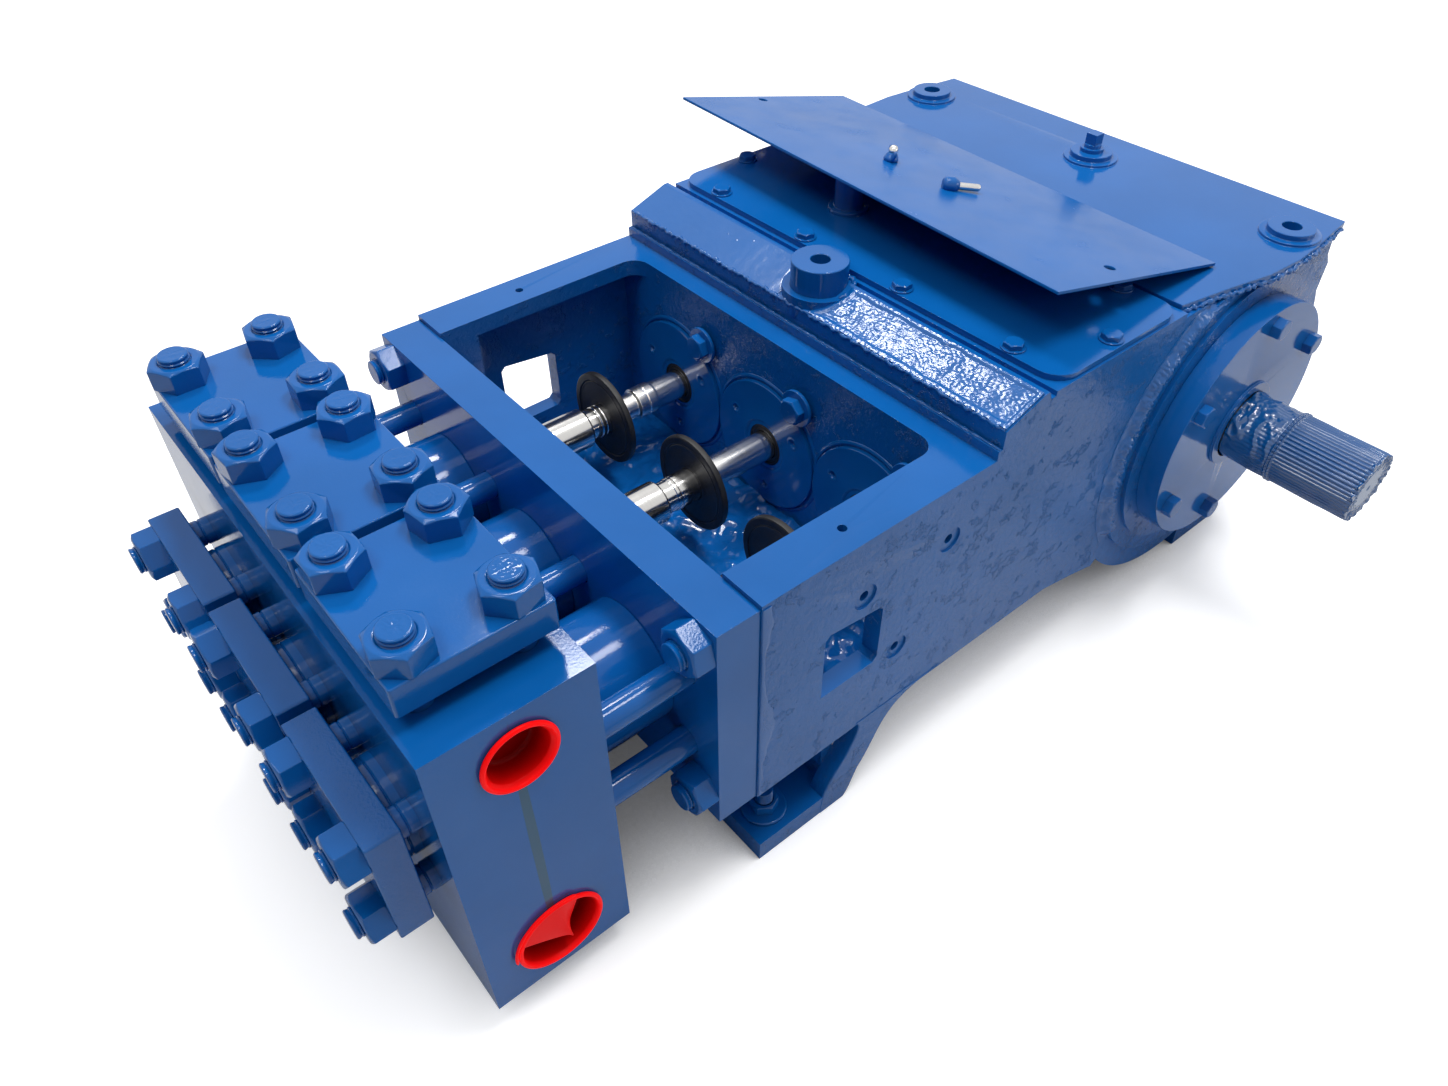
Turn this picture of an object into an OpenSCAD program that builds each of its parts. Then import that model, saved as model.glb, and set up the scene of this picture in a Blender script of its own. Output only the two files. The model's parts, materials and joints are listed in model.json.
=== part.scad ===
// Horizontal three-cylinder plunger pump with an open cradle and a crankcase.
// Frame: origin on the floor at the centre of the four hold-down bolts, +X to the crankcase,
// +Y away from the shaft end, +Z up. Millimetres.

/* [Layout] */
// Height of the plunger and crankshaft axes above the floor
axis_z = 231; // [227:1:235]
// Spacing of the three cylinders
pitch = 150; // [148:1:152]
// Distance of the crankshaft behind the origin
crank_x = 271; // [268:1:274]
// Distance of the crosshead cover's centre behind the origin
cover_x = 42.5; // [40:0.5:45]

/* [Feet] */
// Hold-down bolt spacing along the pump
foot_span = 710; // [706:1:714]
// Hold-down bolt spacing across the pump
foot_gauge = 476; // [470:1:480]
// Thickness of the feet
foot_t = 25; // [22:0.5:28]
// Length of a foot
foot_l = 106; // [100:1:110]
// Radius of the hold-down holes
foot_hole_r = 10; // [9:0.25:11]

/* [Power frame] */
// Overall width of the frame
frame_w = 536.8; // [534:0.4:540]
// Length of the open cradle, from the adapter plate to its rear wall
cradle_l = 244; // [240:1:248]
// Height of the cradle rails above the floor
rail_z = 359.7; // [357:0.3:362]
// Width of the cradle rails
rail_w = 46.7; // [44:0.1:48]
// Thickness of the rail flange
rail_t = 18; // [15:0.5:21]
// Thickness of the cradle side walls
wall_t = 19; // [17:0.5:21]
// Height of the frame's underside in front
under_z = 111; // [108:1:114]
// Thickness of the cradle floor
floor_t = 40; // [34:1:46]
// Radius of the crankcase round the crankshaft
case_r = 207; // [203:1:211]
// Height of the crankcase top
case_z = 396; // [394:0.5:398]
// Rear end of the crankcase
case_end = 437; // [434:1:440]
// Radius of the lifting boss
lift_r = 29; // [26:0.5:32]
// Radius of the threaded hole in the lifting boss
lift_hole_r = 9.7; // [8:0.1:11]
// Height of the lifting boss top
lift_z = 426; // [423:1:429]

/* [Deck] */
// Thickness of the deck plate
deck_t = 9; // [8:0.5:11]
// Front edge of the deck plate
deck_x = 144; // [142:1:147]
// Half-width of the deck plate at its front
deck_front_w = 260; // [256:1:264]
// Half-width of the deck plate at the crankshaft
deck_mid_w = 286; // [282:1:290]
// Half-width of the deck plate at its rear
deck_rear_w = 274; // [270:1:278]
// Radius of the three deck bosses
boss_r = 24; // [22:0.5:27]
// Radius of the tapped holes in the deck bosses
boss_hole_r = 10; // [9:0.2:12]

/* [Fluid block] */
// Length of the fluid block along the pump
block_l = 135.5; // [132:0.5:139]
// Width of the fluid block
block_w = 499; // [496:1:504]
// Height of the fluid block
block_h = 345; // [341:1:349]
// Height of the fluid block's underside above the floor
block_base = 35.6; // [33:0.2:38]
// Radius of the valve bores
valve_bore_r = 34; // [30:0.5:36]
// Radius of the plunger bores through the block
block_bore_r = 30; // [28:0.5:32]
// Radius of the discharge manifold
discharge_r = 26; // [24:0.5:27]
// Height of the discharge manifold's axis
discharge_z = 335.5; // [333:0.5:337]
// Radius of the suction manifold
suction_r = 37; // [35:0.5:38]
// Height of the suction manifold's axis
suction_z = 92; // [90:0.5:94]

/* [Covers] */
// Length of a cover plate, along the pump or upwards
cover_l = 123; // [120:0.5:126]
// Width of a cover plate
cover_w = 140.3; // [136:0.1:143]
// Thickness of a cover plate
cover_t = 28; // [25:0.5:31]
// Gap between a cover plate and the fluid block
cover_gap = 15.4; // [13:0.2:18]
// Radius of the plugs under the cover plates
plug_r = 44; // [41:0.5:46]
// Depth of the plugs in the fluid block
plug_depth = 15; // [12:0.5:17]

/* [Fasteners] */
// Radius of the large studs
stud_r = 12.7; // [12:0.1:13.5]
// Radius of the large nuts across their corners
nut_r = 23.8; // [22.5:0.1:25]
// Height of the large nuts
nut_h = 20; // [18:0.5:22]
// Length of stud beyond a large nut
stud_proud = 6; // [4:0.5:8]
// Radius of the cover and bearing bolts across their head corners
bolt_head_r = 10; // [9:0.2:11.5]
// Height of those bolt heads
bolt_head_h = 7.5; // [6:0.25:9]
// Shank radius of those bolts
bolt_r = 5; // [4:0.1:6]

/* [Adapter] */
// Thickness of the adapter plate
plate_t = 42.7; // [40:0.1:45]
// Height of the adapter plate
plate_h = 243; // [240:1:246]
// Gap between the fluid block and the adapter plate
fluid_gap = 91.4; // [88:0.2:95]
// Radius of the stuffing boxes
box_r = 58.5; // [56:0.5:60]
// Radius of the stuffing box spigots through the adapter plate
spigot_r = 50; // [47:0.5:52]
// Radius of the gland nuts
gland_r = 48; // [45:0.5:50]
// Length of the gland nuts
gland_l = 40; // [36:1:44]
// Radius of the tie rods
tie_r = 13.3; // [12.5:0.1:14]

/* [Plungers and rods] */
// Radius of the plungers
plunger_r = 22.2; // [21:0.1:23]
// Length of the plungers
plunger_l = 226; // [222:1:230]
// Radius of the crosshead rods
rod_r = 16; // [15:0.1:17]
// Radius of the rod couplings
collar_r = 18; // [17.2:0.1:19]
// Radius of the deflector discs
disc_r = 53; // [50:0.5:55]
// Thickness of the deflector discs
disc_t = 7.5; // [6:0.25:9]
// Radius of the wiper plates
wiper_r = 74.6; // [70:0.1:74.8]
// Radius of the rod bores in the crankcase
rod_bore_r = 30; // [28:0.5:32]

/* [Shaft] */
// Radius of the shaft journals
journal_r = 45; // [42:0.5:48]
// Radius of the shaft extension
shaft_r = 34.9; // [33:0.1:36]
// Distance of the shaft end from the centre
shaft_end = 447; // [443:1:450]
// Outer radius of the ribbed protective sleeve
sleeve_r = 38.6; // [38:0.1:39.6]
// Radius of the bearing covers
bearing_r = 139; // [136:1:142]
// Thickness of the bearing covers
bearing_t = 25; // [22:0.5:28]
// Distance of the bearing covers' outer faces from the centre
bearing_y = 303; // [300:1:306]

/* [Loose cover sheet] */
// Length of the cradle cover sheet
sheet_l = 558; // [550:1:562]
// Width of the cradle cover sheet
sheet_w = 259; // [254:1:262]
// Thickness of the cradle cover sheet
sheet_t = 3; // [2:0.25:4]
// Slope of the loose cradle cover sheet
sheet_tilt = 12.5; // [12:0.1:13]

/* [Hidden] */
fn_big = 96;
fn_mid = 48;
fn_small = 32;
seat = 0.3;
slip = 0.4;
front_overhang = 36;
half_w = frame_w / 2;
frame_x = -foot_span / 2 - front_overhang;
plate_x = frame_x - plate_t;
block_rear = plate_x - fluid_gap;
block_front = block_rear - block_l;
block_x = (block_rear + block_front) / 2;
block_top = block_base + block_h;
cylinder_y = [pitch, 0, -pitch];
wall_x = frame_x + cradle_l;
rim_x = wall_x + 23;
deck_z = case_z + deck_t;
plunger_end = [111, 99, 112];
disc_at = [24, 40.5, 15];
stud_dx = 40;
stud_dy = 48;
tie_dz = 45.5;
tie_z = axis_z + 4.5;
tie_dy = 75;
adapter_stud_y = 244;
adapter_stud_z = [331, 147];
stud_seat = 30;
land_h = 5;
cover_plate_t = 6;
cover_plate_l = 185;
cover_plate_w = 532;
washer_h = 4;
washer_r = 20;
wiper_t = 5;
stub_r = 16;
stub_x = 42;
stub_y = 87;
boss_x = 354;
boss_y = 250;
boss_h = 9;
carrier_r = 160;
pad_t = 5;
pad_r = carrier_r + 20;
boss_collar_t = 3;
boss_collar_w = 8;
boss_flange_t = 3;
boss_flange_w = 7;
seal_rim_r = sleeve_r + 11;
seal_rim_t = 3.5;
nut_crown = 3;
screw_x = -146;
screw_y = [43, -45];
wing_w = 38;
wing_t = 6;
screw_l = 34;
sheet_hole_x = -148;
sheet_hole_r = 5.5;
foot_web = 9;
foot_washer_r = 23;
foot_in = foot_gauge / 2 - foot_washer_r - 1.6 - foot_web;
foot_w = half_w - foot_in;
foot_nut_h = 14;
foot_open = 14;
rear_foot_l = 90;
wiper_bolt_dy = 50;
wiper_bolt_z = axis_z + 77;
wiper_head_h = 8;
bearing_bolt_ring = 120;
collar_start = 13;
collar_l = 34;
neck_end = collar_start + collar_l;
coupling_start = neck_end + 18;
coupling_l = 27;
coupling_end = coupling_start + coupling_l;
rod_end = 235;
boss_cut_z = 369.5;
lift_x = -83;
lift_depth = 40;
lap = 1;

blue = [0.05, 0.16, 0.42];
steel = [0.75, 0.76, 0.78];
black = [0.04, 0.04, 0.045];
red = [0.85, 0.05, 0.03];

// Outline of a rectangle with rounded corners
function rounded(x0, x1, y0, y1, r, n = 6) = [
    for (c = [[x1 - r, y1 - r, 0], [x0 + r, y1 - r, 90], [x0 + r, y0 + r, 180], [x1 - r, y0 + r, 270]])
        for (i = [0 : n])
            [c[0] + r * cos(c[2] + 90 * i / n), c[1] + r * sin(c[2] + 90 * i / n)]];

module rod_x(x0, x1, y, z, r, fn = fn_mid) {
    translate([x0, y, z]) rotate([0, 90, 0]) cylinder(h = x1 - x0, r = r, $fn = fn);
}

module rod_y(y0, y1, x, z, r, fn = fn_big) {
    translate([x, y1, z]) rotate([90, 0, 0]) cylinder(h = y1 - y0, r = r, $fn = fn);
}

module rod_z(z0, z1, x, y, r, fn = fn_mid) {
    translate([x, y, z0]) cylinder(h = z1 - z0, r = r, $fn = fn);
}

// A hexagon nut or bolt head standing on z = 0, with its crown chamfered
module hex_nut(h, r) {
    intersection() {
        cylinder(h = h, r = r, $fn = 6);
        union() {
            cylinder(h = h - nut_crown, r = r + lap, $fn = fn_mid);
            translate([0, 0, h - nut_crown]) cylinder(h = nut_crown, r1 = r + lap, r2 = r * cos(30) - lap / 2, $fn = fn_mid);
        }
    }
}

module box(x0, x1, y0, y1, z0, z1) {
    translate([x0, y0, z0]) cube([x1 - x0, y1 - y0, z1 - z0]);
}

// A plate seen from the side, running across the pump from y0 to y1
module side_plate(points, y0, y1) {
    translate([0, y1, 0]) rotate([90, 0, 0]) linear_extrude(height = y1 - y0) polygon(points);
}

// Power frame: one casting with the open cradle, the crankcase and the feet
module cradle_shell() {
    difference() {
        box(frame_x, rim_x, -half_w, half_w, under_z, rail_z);
        translate([0, 0, under_z + floor_t])
            linear_extrude(height = rail_z)
                polygon(rounded(frame_x - 30, wall_x, -half_w + rail_w, half_w - rail_w, 20));
        box(frame_x + 40, wall_x, -half_w + wall_t, half_w - wall_t, under_z + floor_t, rail_z - rail_t);
    }
}

module crankcase_body() {
    side_plate([[wall_x, under_z], [16, under_z], [66, 100], [107, 89], [crank_x, axis_z],
        [case_end - 60, foot_t], [case_end - 22, foot_t], [case_end, 120], [case_end + 6, 294],
        [case_end - 12, case_z], [-62, case_z], [-66, 405], [-71, 405], [-119, 388], [-119, 369.5],
        [rim_x, 369.5], [rim_x, rail_z], [wall_x, rail_z]], -half_w, half_w);
    intersection() {
        rod_y(-half_w, half_w, crank_x, axis_z, case_r);
        box(0, case_end + 4, -half_w, half_w, 0, case_z);
    }
    box(cover_x - cover_plate_l / 2 - 5, deck_x - 2, -half_w, half_w, case_z - 1, case_z + land_h);
    intersection() {
        rod_y(-half_w - pad_t, half_w + pad_t, crank_x, axis_z, pad_r);
        box(0, case_end + 4, -half_w - pad_t, half_w + pad_t, 0, case_z);
    }
    rod_y(-bearing_y + bearing_t, bearing_y - bearing_t, crank_x, axis_z, carrier_r);
    rod_z(case_z - 20, case_z + boss_collar_t, lift_x, 0, lift_r + boss_collar_w);
}

module front_leg(s) {
    y0 = s > 0 ? half_w - 18 : -half_w;
    side_plate([[frame_x + 165, under_z + 1], [frame_x + 160, under_z - 25], [frame_x + 150, 71],
        [frame_x + 138, 43], [frame_x + 124, 9], [frame_x + 118, 0], [frame_x + 80, 0],
        [frame_x + 88, foot_t], [frame_x + 100, foot_t + 1], [frame_x + 114, 45], [frame_x + 121, 67],
        [frame_x + 129, 98], [frame_x + 126, under_z + 1]], y0, y0 + 18);
    y1 = s > 0 ? foot_in : -half_w;
    box(frame_x + 5, frame_x + 5 + foot_l, y1, y1 + foot_w, 0, foot_t);
    y2 = s > 0 ? foot_in : -foot_in - foot_web;
    box(frame_x + 5, frame_x + 5 + foot_l, y2, y2 + foot_web, foot_t - lap, under_z + lap);
    box(frame_x + 100, frame_x + 114, y1, y1 + foot_w, foot_t - lap, under_z + lap);
}

module rear_foot(s) {
    y1 = s > 0 ? foot_in : -half_w;
    box(foot_span / 2 - rear_foot_l / 2, foot_span / 2 + rear_foot_l / 2, y1, y1 + foot_w, 0, foot_t + lap);
}

module power_frame() {
    color(blue) difference() {
        union() {
            cradle_shell();
            crankcase_body();
            for (s = [-1, 1]) {
                front_leg(s);
                rear_foot(s);
            }
        }
        for (y = cylinder_y)
            rod_x(wall_x - 1, 30, y, axis_z, rod_bore_r);
        rod_y(-bearing_y, bearing_y, crank_x, axis_z, journal_r + slip);
        rod_z(boss_cut_z, lift_z + lap, lift_x, 0, lift_r + seat);
        side_plate([[-319, 194], [-255, 195], [-250, 200], [-250, 262], [-255, 266], [-314, 273], [-319, 268]],
            -half_w - 1, half_w + 1);
        for (s = [-1, 1]) {
            for (h = [[-275, 293], [-224, 193], [-171, 296]]) {
                rod_y(s * half_w - 2, s * half_w + 2, h[0], h[1], 13, fn_small);
                rod_y(s * half_w - 16, s * half_w + 16, h[0], h[1], 5, fn_small);
            }
            rod_z(rail_z - 16, rail_z + 1, -285, s * 244, 4.2, fn_small);
            for (z = adapter_stud_z)
                rod_x(frame_x - 1, frame_x + stud_seat + 1, s * adapter_stud_y, z, stud_r + seat);
            for (e = [-1, 1])
                rod_z(-1, foot_t + 2, e * foot_span / 2, s * foot_gauge / 2, foot_hole_r);
            for (a = [30 : 60 : 330])
                rod_y(s * (bearing_y - bearing_t) - 20, s * (bearing_y - bearing_t) + 20,
                    crank_x + bearing_bolt_ring * cos(a), axis_z + bearing_bolt_ring * sin(a), bolt_r + seat, fn_small);
        }
        for (p = cover_bolt_places)
            rod_z(case_z - 14, case_z + land_h + 1, p[0], p[1], bolt_r + seat, fn_small);
        for (y = cylinder_y)
            rod_x(wall_x - lap, wall_x + 16, y - wiper_bolt_dy, wiper_bolt_z, bolt_r + seat, fn_small);
    }
}

// Lifting boss, let into the sloped front of the crosshead housing
module lifting_boss() {
    color(blue) difference() {
        rod_z(boss_cut_z, lift_z, lift_x, 0, lift_r);
        rod_z(lift_z - lift_depth, lift_z + lap, lift_x, 0, lift_hole_r);
    }
}

// Deck plate over the crankshaft, with its three bosses
module crankcase_deck() {
    color(blue) difference() {
        union() {
            translate([0, 0, case_z]) linear_extrude(height = deck_t)
                polygon([[deck_x, -deck_front_w], [210, -deck_front_w - 12], [262, -deck_mid_w + 3],
                    [310, -deck_mid_w], [350, -deck_mid_w + 3], [case_end - 12, -deck_rear_w],
                    [case_end - 12, deck_rear_w], [350, deck_mid_w - 3], [310, deck_mid_w],
                    [262, deck_mid_w - 3], [210, deck_front_w + 12], [deck_x, deck_front_w]]);
            for (y = [-boss_y, 0, boss_y])
            {
                rod_z(deck_z - 1, deck_z + boss_h, boss_x, y, boss_r);
                rod_z(deck_z - 1, deck_z + boss_flange_t, boss_x, y, boss_r + boss_flange_w);
            }
        }
        for (y = [-boss_y, 0, boss_y])
            rod_z(case_z - 1, deck_z + boss_h + 1, boss_x, y, boss_hole_r);
    }
}

// Crosshead cover plate and its bolts
cover_bolt_places = [for (y = [-205, -68.5, 68.5, 205]) each [[-38.5, y], [123.5, y]], [40, -253], [40, 253]];
cover_base = case_z + land_h;

module crosshead_cover() {
    color(blue) difference() {
        translate([0, 0, cover_base]) linear_extrude(height = cover_plate_t)
            polygon(rounded(cover_x - cover_plate_l / 2, cover_x + cover_plate_l / 2,
                -cover_plate_w / 2, cover_plate_w / 2, 25));
        for (p = cover_bolt_places)
            rod_z(cover_base - 1, cover_base + cover_plate_t + 1, p[0], p[1], bolt_r + seat, fn_small);
        rod_z(cover_base - 1, cover_base + cover_plate_t + 1, stub_x, stub_y, stub_r - 4);
    }
}

module crosshead_cover_bolts() {
    color(blue) for (p = cover_bolt_places) {
        rod_z(cover_base + cover_plate_t, cover_base + cover_plate_t + bolt_head_h, p[0], p[1], bolt_head_r, 6);
        rod_z(cover_base - 10, cover_base + cover_plate_t + 1, p[0], p[1], bolt_r, fn_small);
    }
}

module filler_neck() {
    color(blue) difference() {
        union() {
            rod_z(cover_base + cover_plate_t, cover_base + cover_plate_t + 41, stub_x, stub_y, stub_r);
            rod_z(cover_base + cover_plate_t, cover_base + cover_plate_t + 4, stub_x, stub_y, stub_r + 6);
        }
        rod_z(cover_base + cover_plate_t - 1, cover_base + cover_plate_t + 30, stub_x, stub_y, stub_r - 4);
    }
}

// Loose cradle cover sheet, lying on the deck plate and the filler neck
module on_sheet() {
    translate([245.5, 40, deck_z + 1.5]) rotate([0, 0, -2.8]) rotate([0, sheet_tilt, 0]) children();
}

module cradle_cover() {
    color(blue) on_sheet() difference() {
        box(-sheet_w, 0, -sheet_l / 2, sheet_l / 2, 0, sheet_t);
        for (y = [-sheet_l / 2 + 25, sheet_l / 2 - 14])
            rod_z(-1, sheet_t + 1, sheet_hole_x, y, sheet_hole_r, fn_small);
    }
}

module wing_screws() {
    color(steel) on_sheet() {
        rod_z(sheet_t, sheet_t + 1.5 * wing_t, screw_x, screw_y[0], wing_t, fn_small);
        box(screw_x - wing_t / 2, screw_x + wing_t / 2, screw_y[0] - wing_w / 2, screw_y[0] + wing_w / 2,
            sheet_t + wing_t / 2 + 1, sheet_t + wing_t + 2);
        translate([screw_x, screw_y[1], sheet_t + wing_t]) rotate([0, 90, -30]) {
            cylinder(h = screw_l, r = wing_t - 2, $fn = fn_small);
            cylinder(h = 2 * wing_t, r = wing_t, $fn = fn_small);
        }
    }
}

module deck_plug() {
    color(blue) {
        rod_z(case_z, deck_z + boss_h + 8, boss_x, 0, boss_hole_r - seat);
        rod_z(deck_z + boss_h, deck_z + boss_h + 4, boss_x, 0, 13.5);
        translate([boss_x - 7, -7, deck_z + boss_h + 3]) cube([14, 14, 17]);
    }
}

// Adapter plate between the fluid end and the frame
module adapter_plate() {
    color(blue) difference() {
        box(plate_x, frame_x, -half_w + 1.5, half_w - 1.5, rail_z - 4.7 - plate_h, rail_z - 4.7);
        for (y = cylinder_y)
            rod_x(plate_x - 1, frame_x + 1, y, axis_z, spigot_r + seat, fn_big);
        for (y = tie_places, z = [tie_z - tie_dz, tie_z + tie_dz])
            rod_x(plate_x - 1, plate_x + stud_seat - 4, y, z, tie_r + seat);
        for (y = [-adapter_stud_y, adapter_stud_y], z = adapter_stud_z)
            rod_x(plate_x - 1, frame_x + 1, y, z, stud_r + 1);
    }
}

tie_places = [-3 * tie_dy, -tie_dy, tie_dy, 3 * tie_dy];

module tie_rods() {
    color(blue) for (y = tie_places, z = [tie_z - tie_dz, tie_z + tie_dz])
        rod_x(block_rear - stud_seat, plate_x + stud_seat - 6, y, z, tie_r);
}

module adapter_studs() {
    color(blue) for (y = [-adapter_stud_y, adapter_stud_y], z = adapter_stud_z) {
        rod_x(plate_x - nut_h - stud_proud, frame_x + stud_seat, y, z, stud_r);
        translate([plate_x, y, z]) rotate([0, -90, 0]) hex_nut(nut_h, nut_r);
    }
}

// Fluid block with its valve, plunger and manifold bores
module fluid_block() {
    color(blue) difference() {
        box(block_front, block_rear, -block_w / 2, block_w / 2, block_base, block_top);
        for (y = cylinder_y) {
            rod_z(block_top - plug_depth - 1, block_top + 1, block_x, y, plug_r + seat, fn_big);
            rod_z(suction_z, block_top, block_x, y, valve_bore_r);
            rod_x(block_front - 1, block_front + plug_depth + 1, y, axis_z, plug_r + seat, fn_big);
            rod_x(block_front, block_x, y, axis_z, valve_bore_r);
            rod_x(block_x, block_rear + 1, y, axis_z, block_bore_r);
            for (a = [-stud_dx, stud_dx], b = [-stud_dy, stud_dy]) {
                rod_z(block_top - stud_seat - 1, block_top + 1, block_x + a, y + b, stud_r + seat);
                rod_x(block_front - 1, block_front + stud_seat + 1, y + b, axis_z + a, stud_r + seat);
            }
        }
        rod_y(-block_w / 2 - 1, block_w / 2 + 1, block_x, discharge_z, discharge_r);
        rod_y(-block_w / 2 - 1, block_w / 2 + 1, block_x, suction_z, suction_r);
        for (y = tie_places, z = [tie_z - tie_dz, tie_z + tie_dz])
            rod_x(block_rear - stud_seat - 1, block_rear + 1, y, z, tie_r + seat);
    }
}

// Valve covers on top of the block
module valve_plugs() {
    color(blue) for (y = cylinder_y)
        rod_z(block_top - plug_depth, block_top + cover_gap, block_x, y, plug_r, fn_big);
}

module top_cover(y) {
    color(blue) difference() {
        box(block_x - cover_l / 2, block_x + cover_l / 2, y - cover_w / 2, y + cover_w / 2,
            block_top + cover_gap, block_top + cover_gap + cover_t);
        for (a = [-stud_dx, stud_dx], b = [-stud_dy, stud_dy])
            rod_z(block_top, block_top + 80, block_x + a, y + b, stud_r + 1);
    }
}

module top_cover_1() { top_cover(cylinder_y[0]); }
module top_cover_2() { top_cover(cylinder_y[1]); }
module top_cover_3() { top_cover(cylinder_y[2]); }

module top_studs() {
    z = block_top + cover_gap + cover_t;
    color(blue) for (y = cylinder_y, a = [-stud_dx, stud_dx], b = [-stud_dy, stud_dy]) {
        rod_z(block_top - stud_seat, z + nut_h + stud_proud, block_x + a, y + b, stud_r);
        translate([block_x + a, y + b, z]) hex_nut(nut_h, nut_r);
    }
}

// Cylinder covers on the front of the block
module front_plugs() {
    color(blue) for (y = cylinder_y)
        rod_x(block_front - cover_gap, block_front + plug_depth, y, axis_z, plug_r, fn_big);
}

module front_cover(y) {
    color(blue) difference() {
        box(block_front - cover_gap - cover_t, block_front - cover_gap, y - cover_w / 2, y + cover_w / 2,
            axis_z - cover_l / 2, axis_z + cover_l / 2);
        for (a = [-stud_dx, stud_dx], b = [-stud_dy, stud_dy])
            rod_x(block_front - 80, block_front, y + b, axis_z + a, stud_r + 1);
    }
}

module front_cover_1() { front_cover(cylinder_y[0]); }
module front_cover_2() { front_cover(cylinder_y[1]); }
module front_cover_3() { front_cover(cylinder_y[2]); }

module front_studs() {
    x = block_front - cover_gap - cover_t;
    color(blue) for (y = cylinder_y, a = [-stud_dx, stud_dx], b = [-stud_dy, stud_dy]) {
        rod_x(x - nut_h - stud_proud, block_front + stud_seat, y + b, axis_z + a, stud_r);
        translate([x, y + b, axis_z + a]) rotate([0, -90, 0]) hex_nut(nut_h, nut_r);
    }
}

// Stuffing boxes and the gland nuts behind them
module stuffing_box(y) {
    color(blue) difference() {
        union() {
            rod_x(block_rear, plate_x, y, axis_z, box_r, fn_big);
            rod_x(plate_x - 1, frame_x, y, axis_z, spigot_r, fn_big);
        }
        rod_x(block_rear - 1, frame_x + 1, y, axis_z, plunger_r + slip, fn_big);
    }
}

module stuffing_box_1() { stuffing_box(cylinder_y[0]); }
module stuffing_box_2() { stuffing_box(cylinder_y[1]); }
module stuffing_box_3() { stuffing_box(cylinder_y[2]); }

module gland_nuts() {
    color(blue) for (y = cylinder_y)
        difference() {
            rod_x(frame_x, frame_x + gland_l, y, axis_z, gland_r, fn_big);
            rod_x(frame_x - 1, frame_x + gland_l + 1, y, axis_z, plunger_r + 2 * slip, fn_big);
            for (a = [0 : 60 : 300])
                translate([frame_x + gland_l / 2 + 4, y, axis_z]) rotate([a, 0, 0])
                    translate([0, 0, gland_r - 12]) cylinder(h = 20, r = 6, $fn = fn_small);
        }
}

// Plungers with their crosshead rods and deflector discs
module plunger(i) {
    e = frame_x + plunger_end[i];
    y = cylinder_y[i];
    color(steel) {
        rod_x(e - plunger_l, e, y, axis_z, plunger_r, fn_big);
        rod_x(e - lap, e + collar_start + lap, y, axis_z, collar_r - 1);
        rod_x(e + collar_start, e + neck_end, y, axis_z, collar_r);
    }
}

module plunger_1() { plunger(0); }
module plunger_2() { plunger(1); }
module plunger_3() { plunger(2); }

module pony_rod(i) {
    e = frame_x + plunger_end[i];
    y = cylinder_y[i];
    color(steel) {
        rod_x(e + neck_end, e + coupling_start + lap, y, axis_z, rod_r - 2);
        rod_x(e + coupling_start, e + coupling_end, y, axis_z, collar_r);
        rod_x(e + coupling_end - lap, e + rod_end, y, axis_z, rod_r);
    }
}

module pony_rod_1() { pony_rod(0); }
module pony_rod_2() { pony_rod(1); }
module pony_rod_3() { pony_rod(2); }

module deflector_disc(i) {
    e = frame_x + plunger_end[i] + disc_at[i];
    color(black) difference() {
        rod_x(e, e + disc_t, cylinder_y[i], axis_z, disc_r, fn_big);
        rod_x(e - 1, e + disc_t + 1, cylinder_y[i], axis_z, collar_r + seat);
    }
}

module deflector_disc_1() { deflector_disc(0); }
module deflector_disc_2() { deflector_disc(1); }
module deflector_disc_3() { deflector_disc(2); }

// Wiper plates on the crankcase wall
module wiper_plates() {
    color(blue) for (y = cylinder_y)
        difference() {
            rod_x(wall_x - wiper_t, wall_x, y, axis_z, wiper_r, fn_big);
            rod_x(wall_x - wiper_t - 1, wall_x + 1, y, axis_z, rod_r + 8);
        }
}

module wiper_bolts() {
    color(blue) for (y = cylinder_y) {
        x = wall_x - wiper_t;
        rod_x(x - washer_h, x, y - wiper_bolt_dy, wiper_bolt_z, washer_r);
        rod_x(x - lap, x + wiper_t + 14, y - wiper_bolt_dy, wiper_bolt_z, bolt_r);
        rod_x(x - washer_h - wiper_head_h, x - washer_h, y - wiper_bolt_dy, wiper_bolt_z, bolt_head_r + 1, 6);
    }
}

// Bearing covers, crankshaft and the sleeve on its end
module bearing_cover_near() {
    color(blue) difference() {
        union() {
            rod_y(-bearing_y, -bearing_y + bearing_t, crank_x, axis_z, bearing_r);
            rod_y(-bearing_y - seal_rim_t, -bearing_y + 1, crank_x, axis_z, seal_rim_r);
        }
        rod_y(-bearing_y - seal_rim_t - 1, -bearing_y + bearing_t + 1, crank_x, axis_z, sleeve_r + 1);
        for (a = [30 : 60 : 330])
            rod_y(-bearing_y - 1, -bearing_y + bearing_t + 1, crank_x + bearing_bolt_ring * cos(a), axis_z + bearing_bolt_ring * sin(a),
                bolt_r + seat, fn_small);
    }
}

module bearing_cover_far() {
    color(blue) difference() {
        rod_y(bearing_y - bearing_t, bearing_y, crank_x, axis_z, bearing_r);
        for (a = [30 : 60 : 330])
            rod_y(bearing_y - bearing_t - 1, bearing_y + 1, crank_x + bearing_bolt_ring * cos(a), axis_z + bearing_bolt_ring * sin(a),
                bolt_r + seat, fn_small);
    }
}

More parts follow.
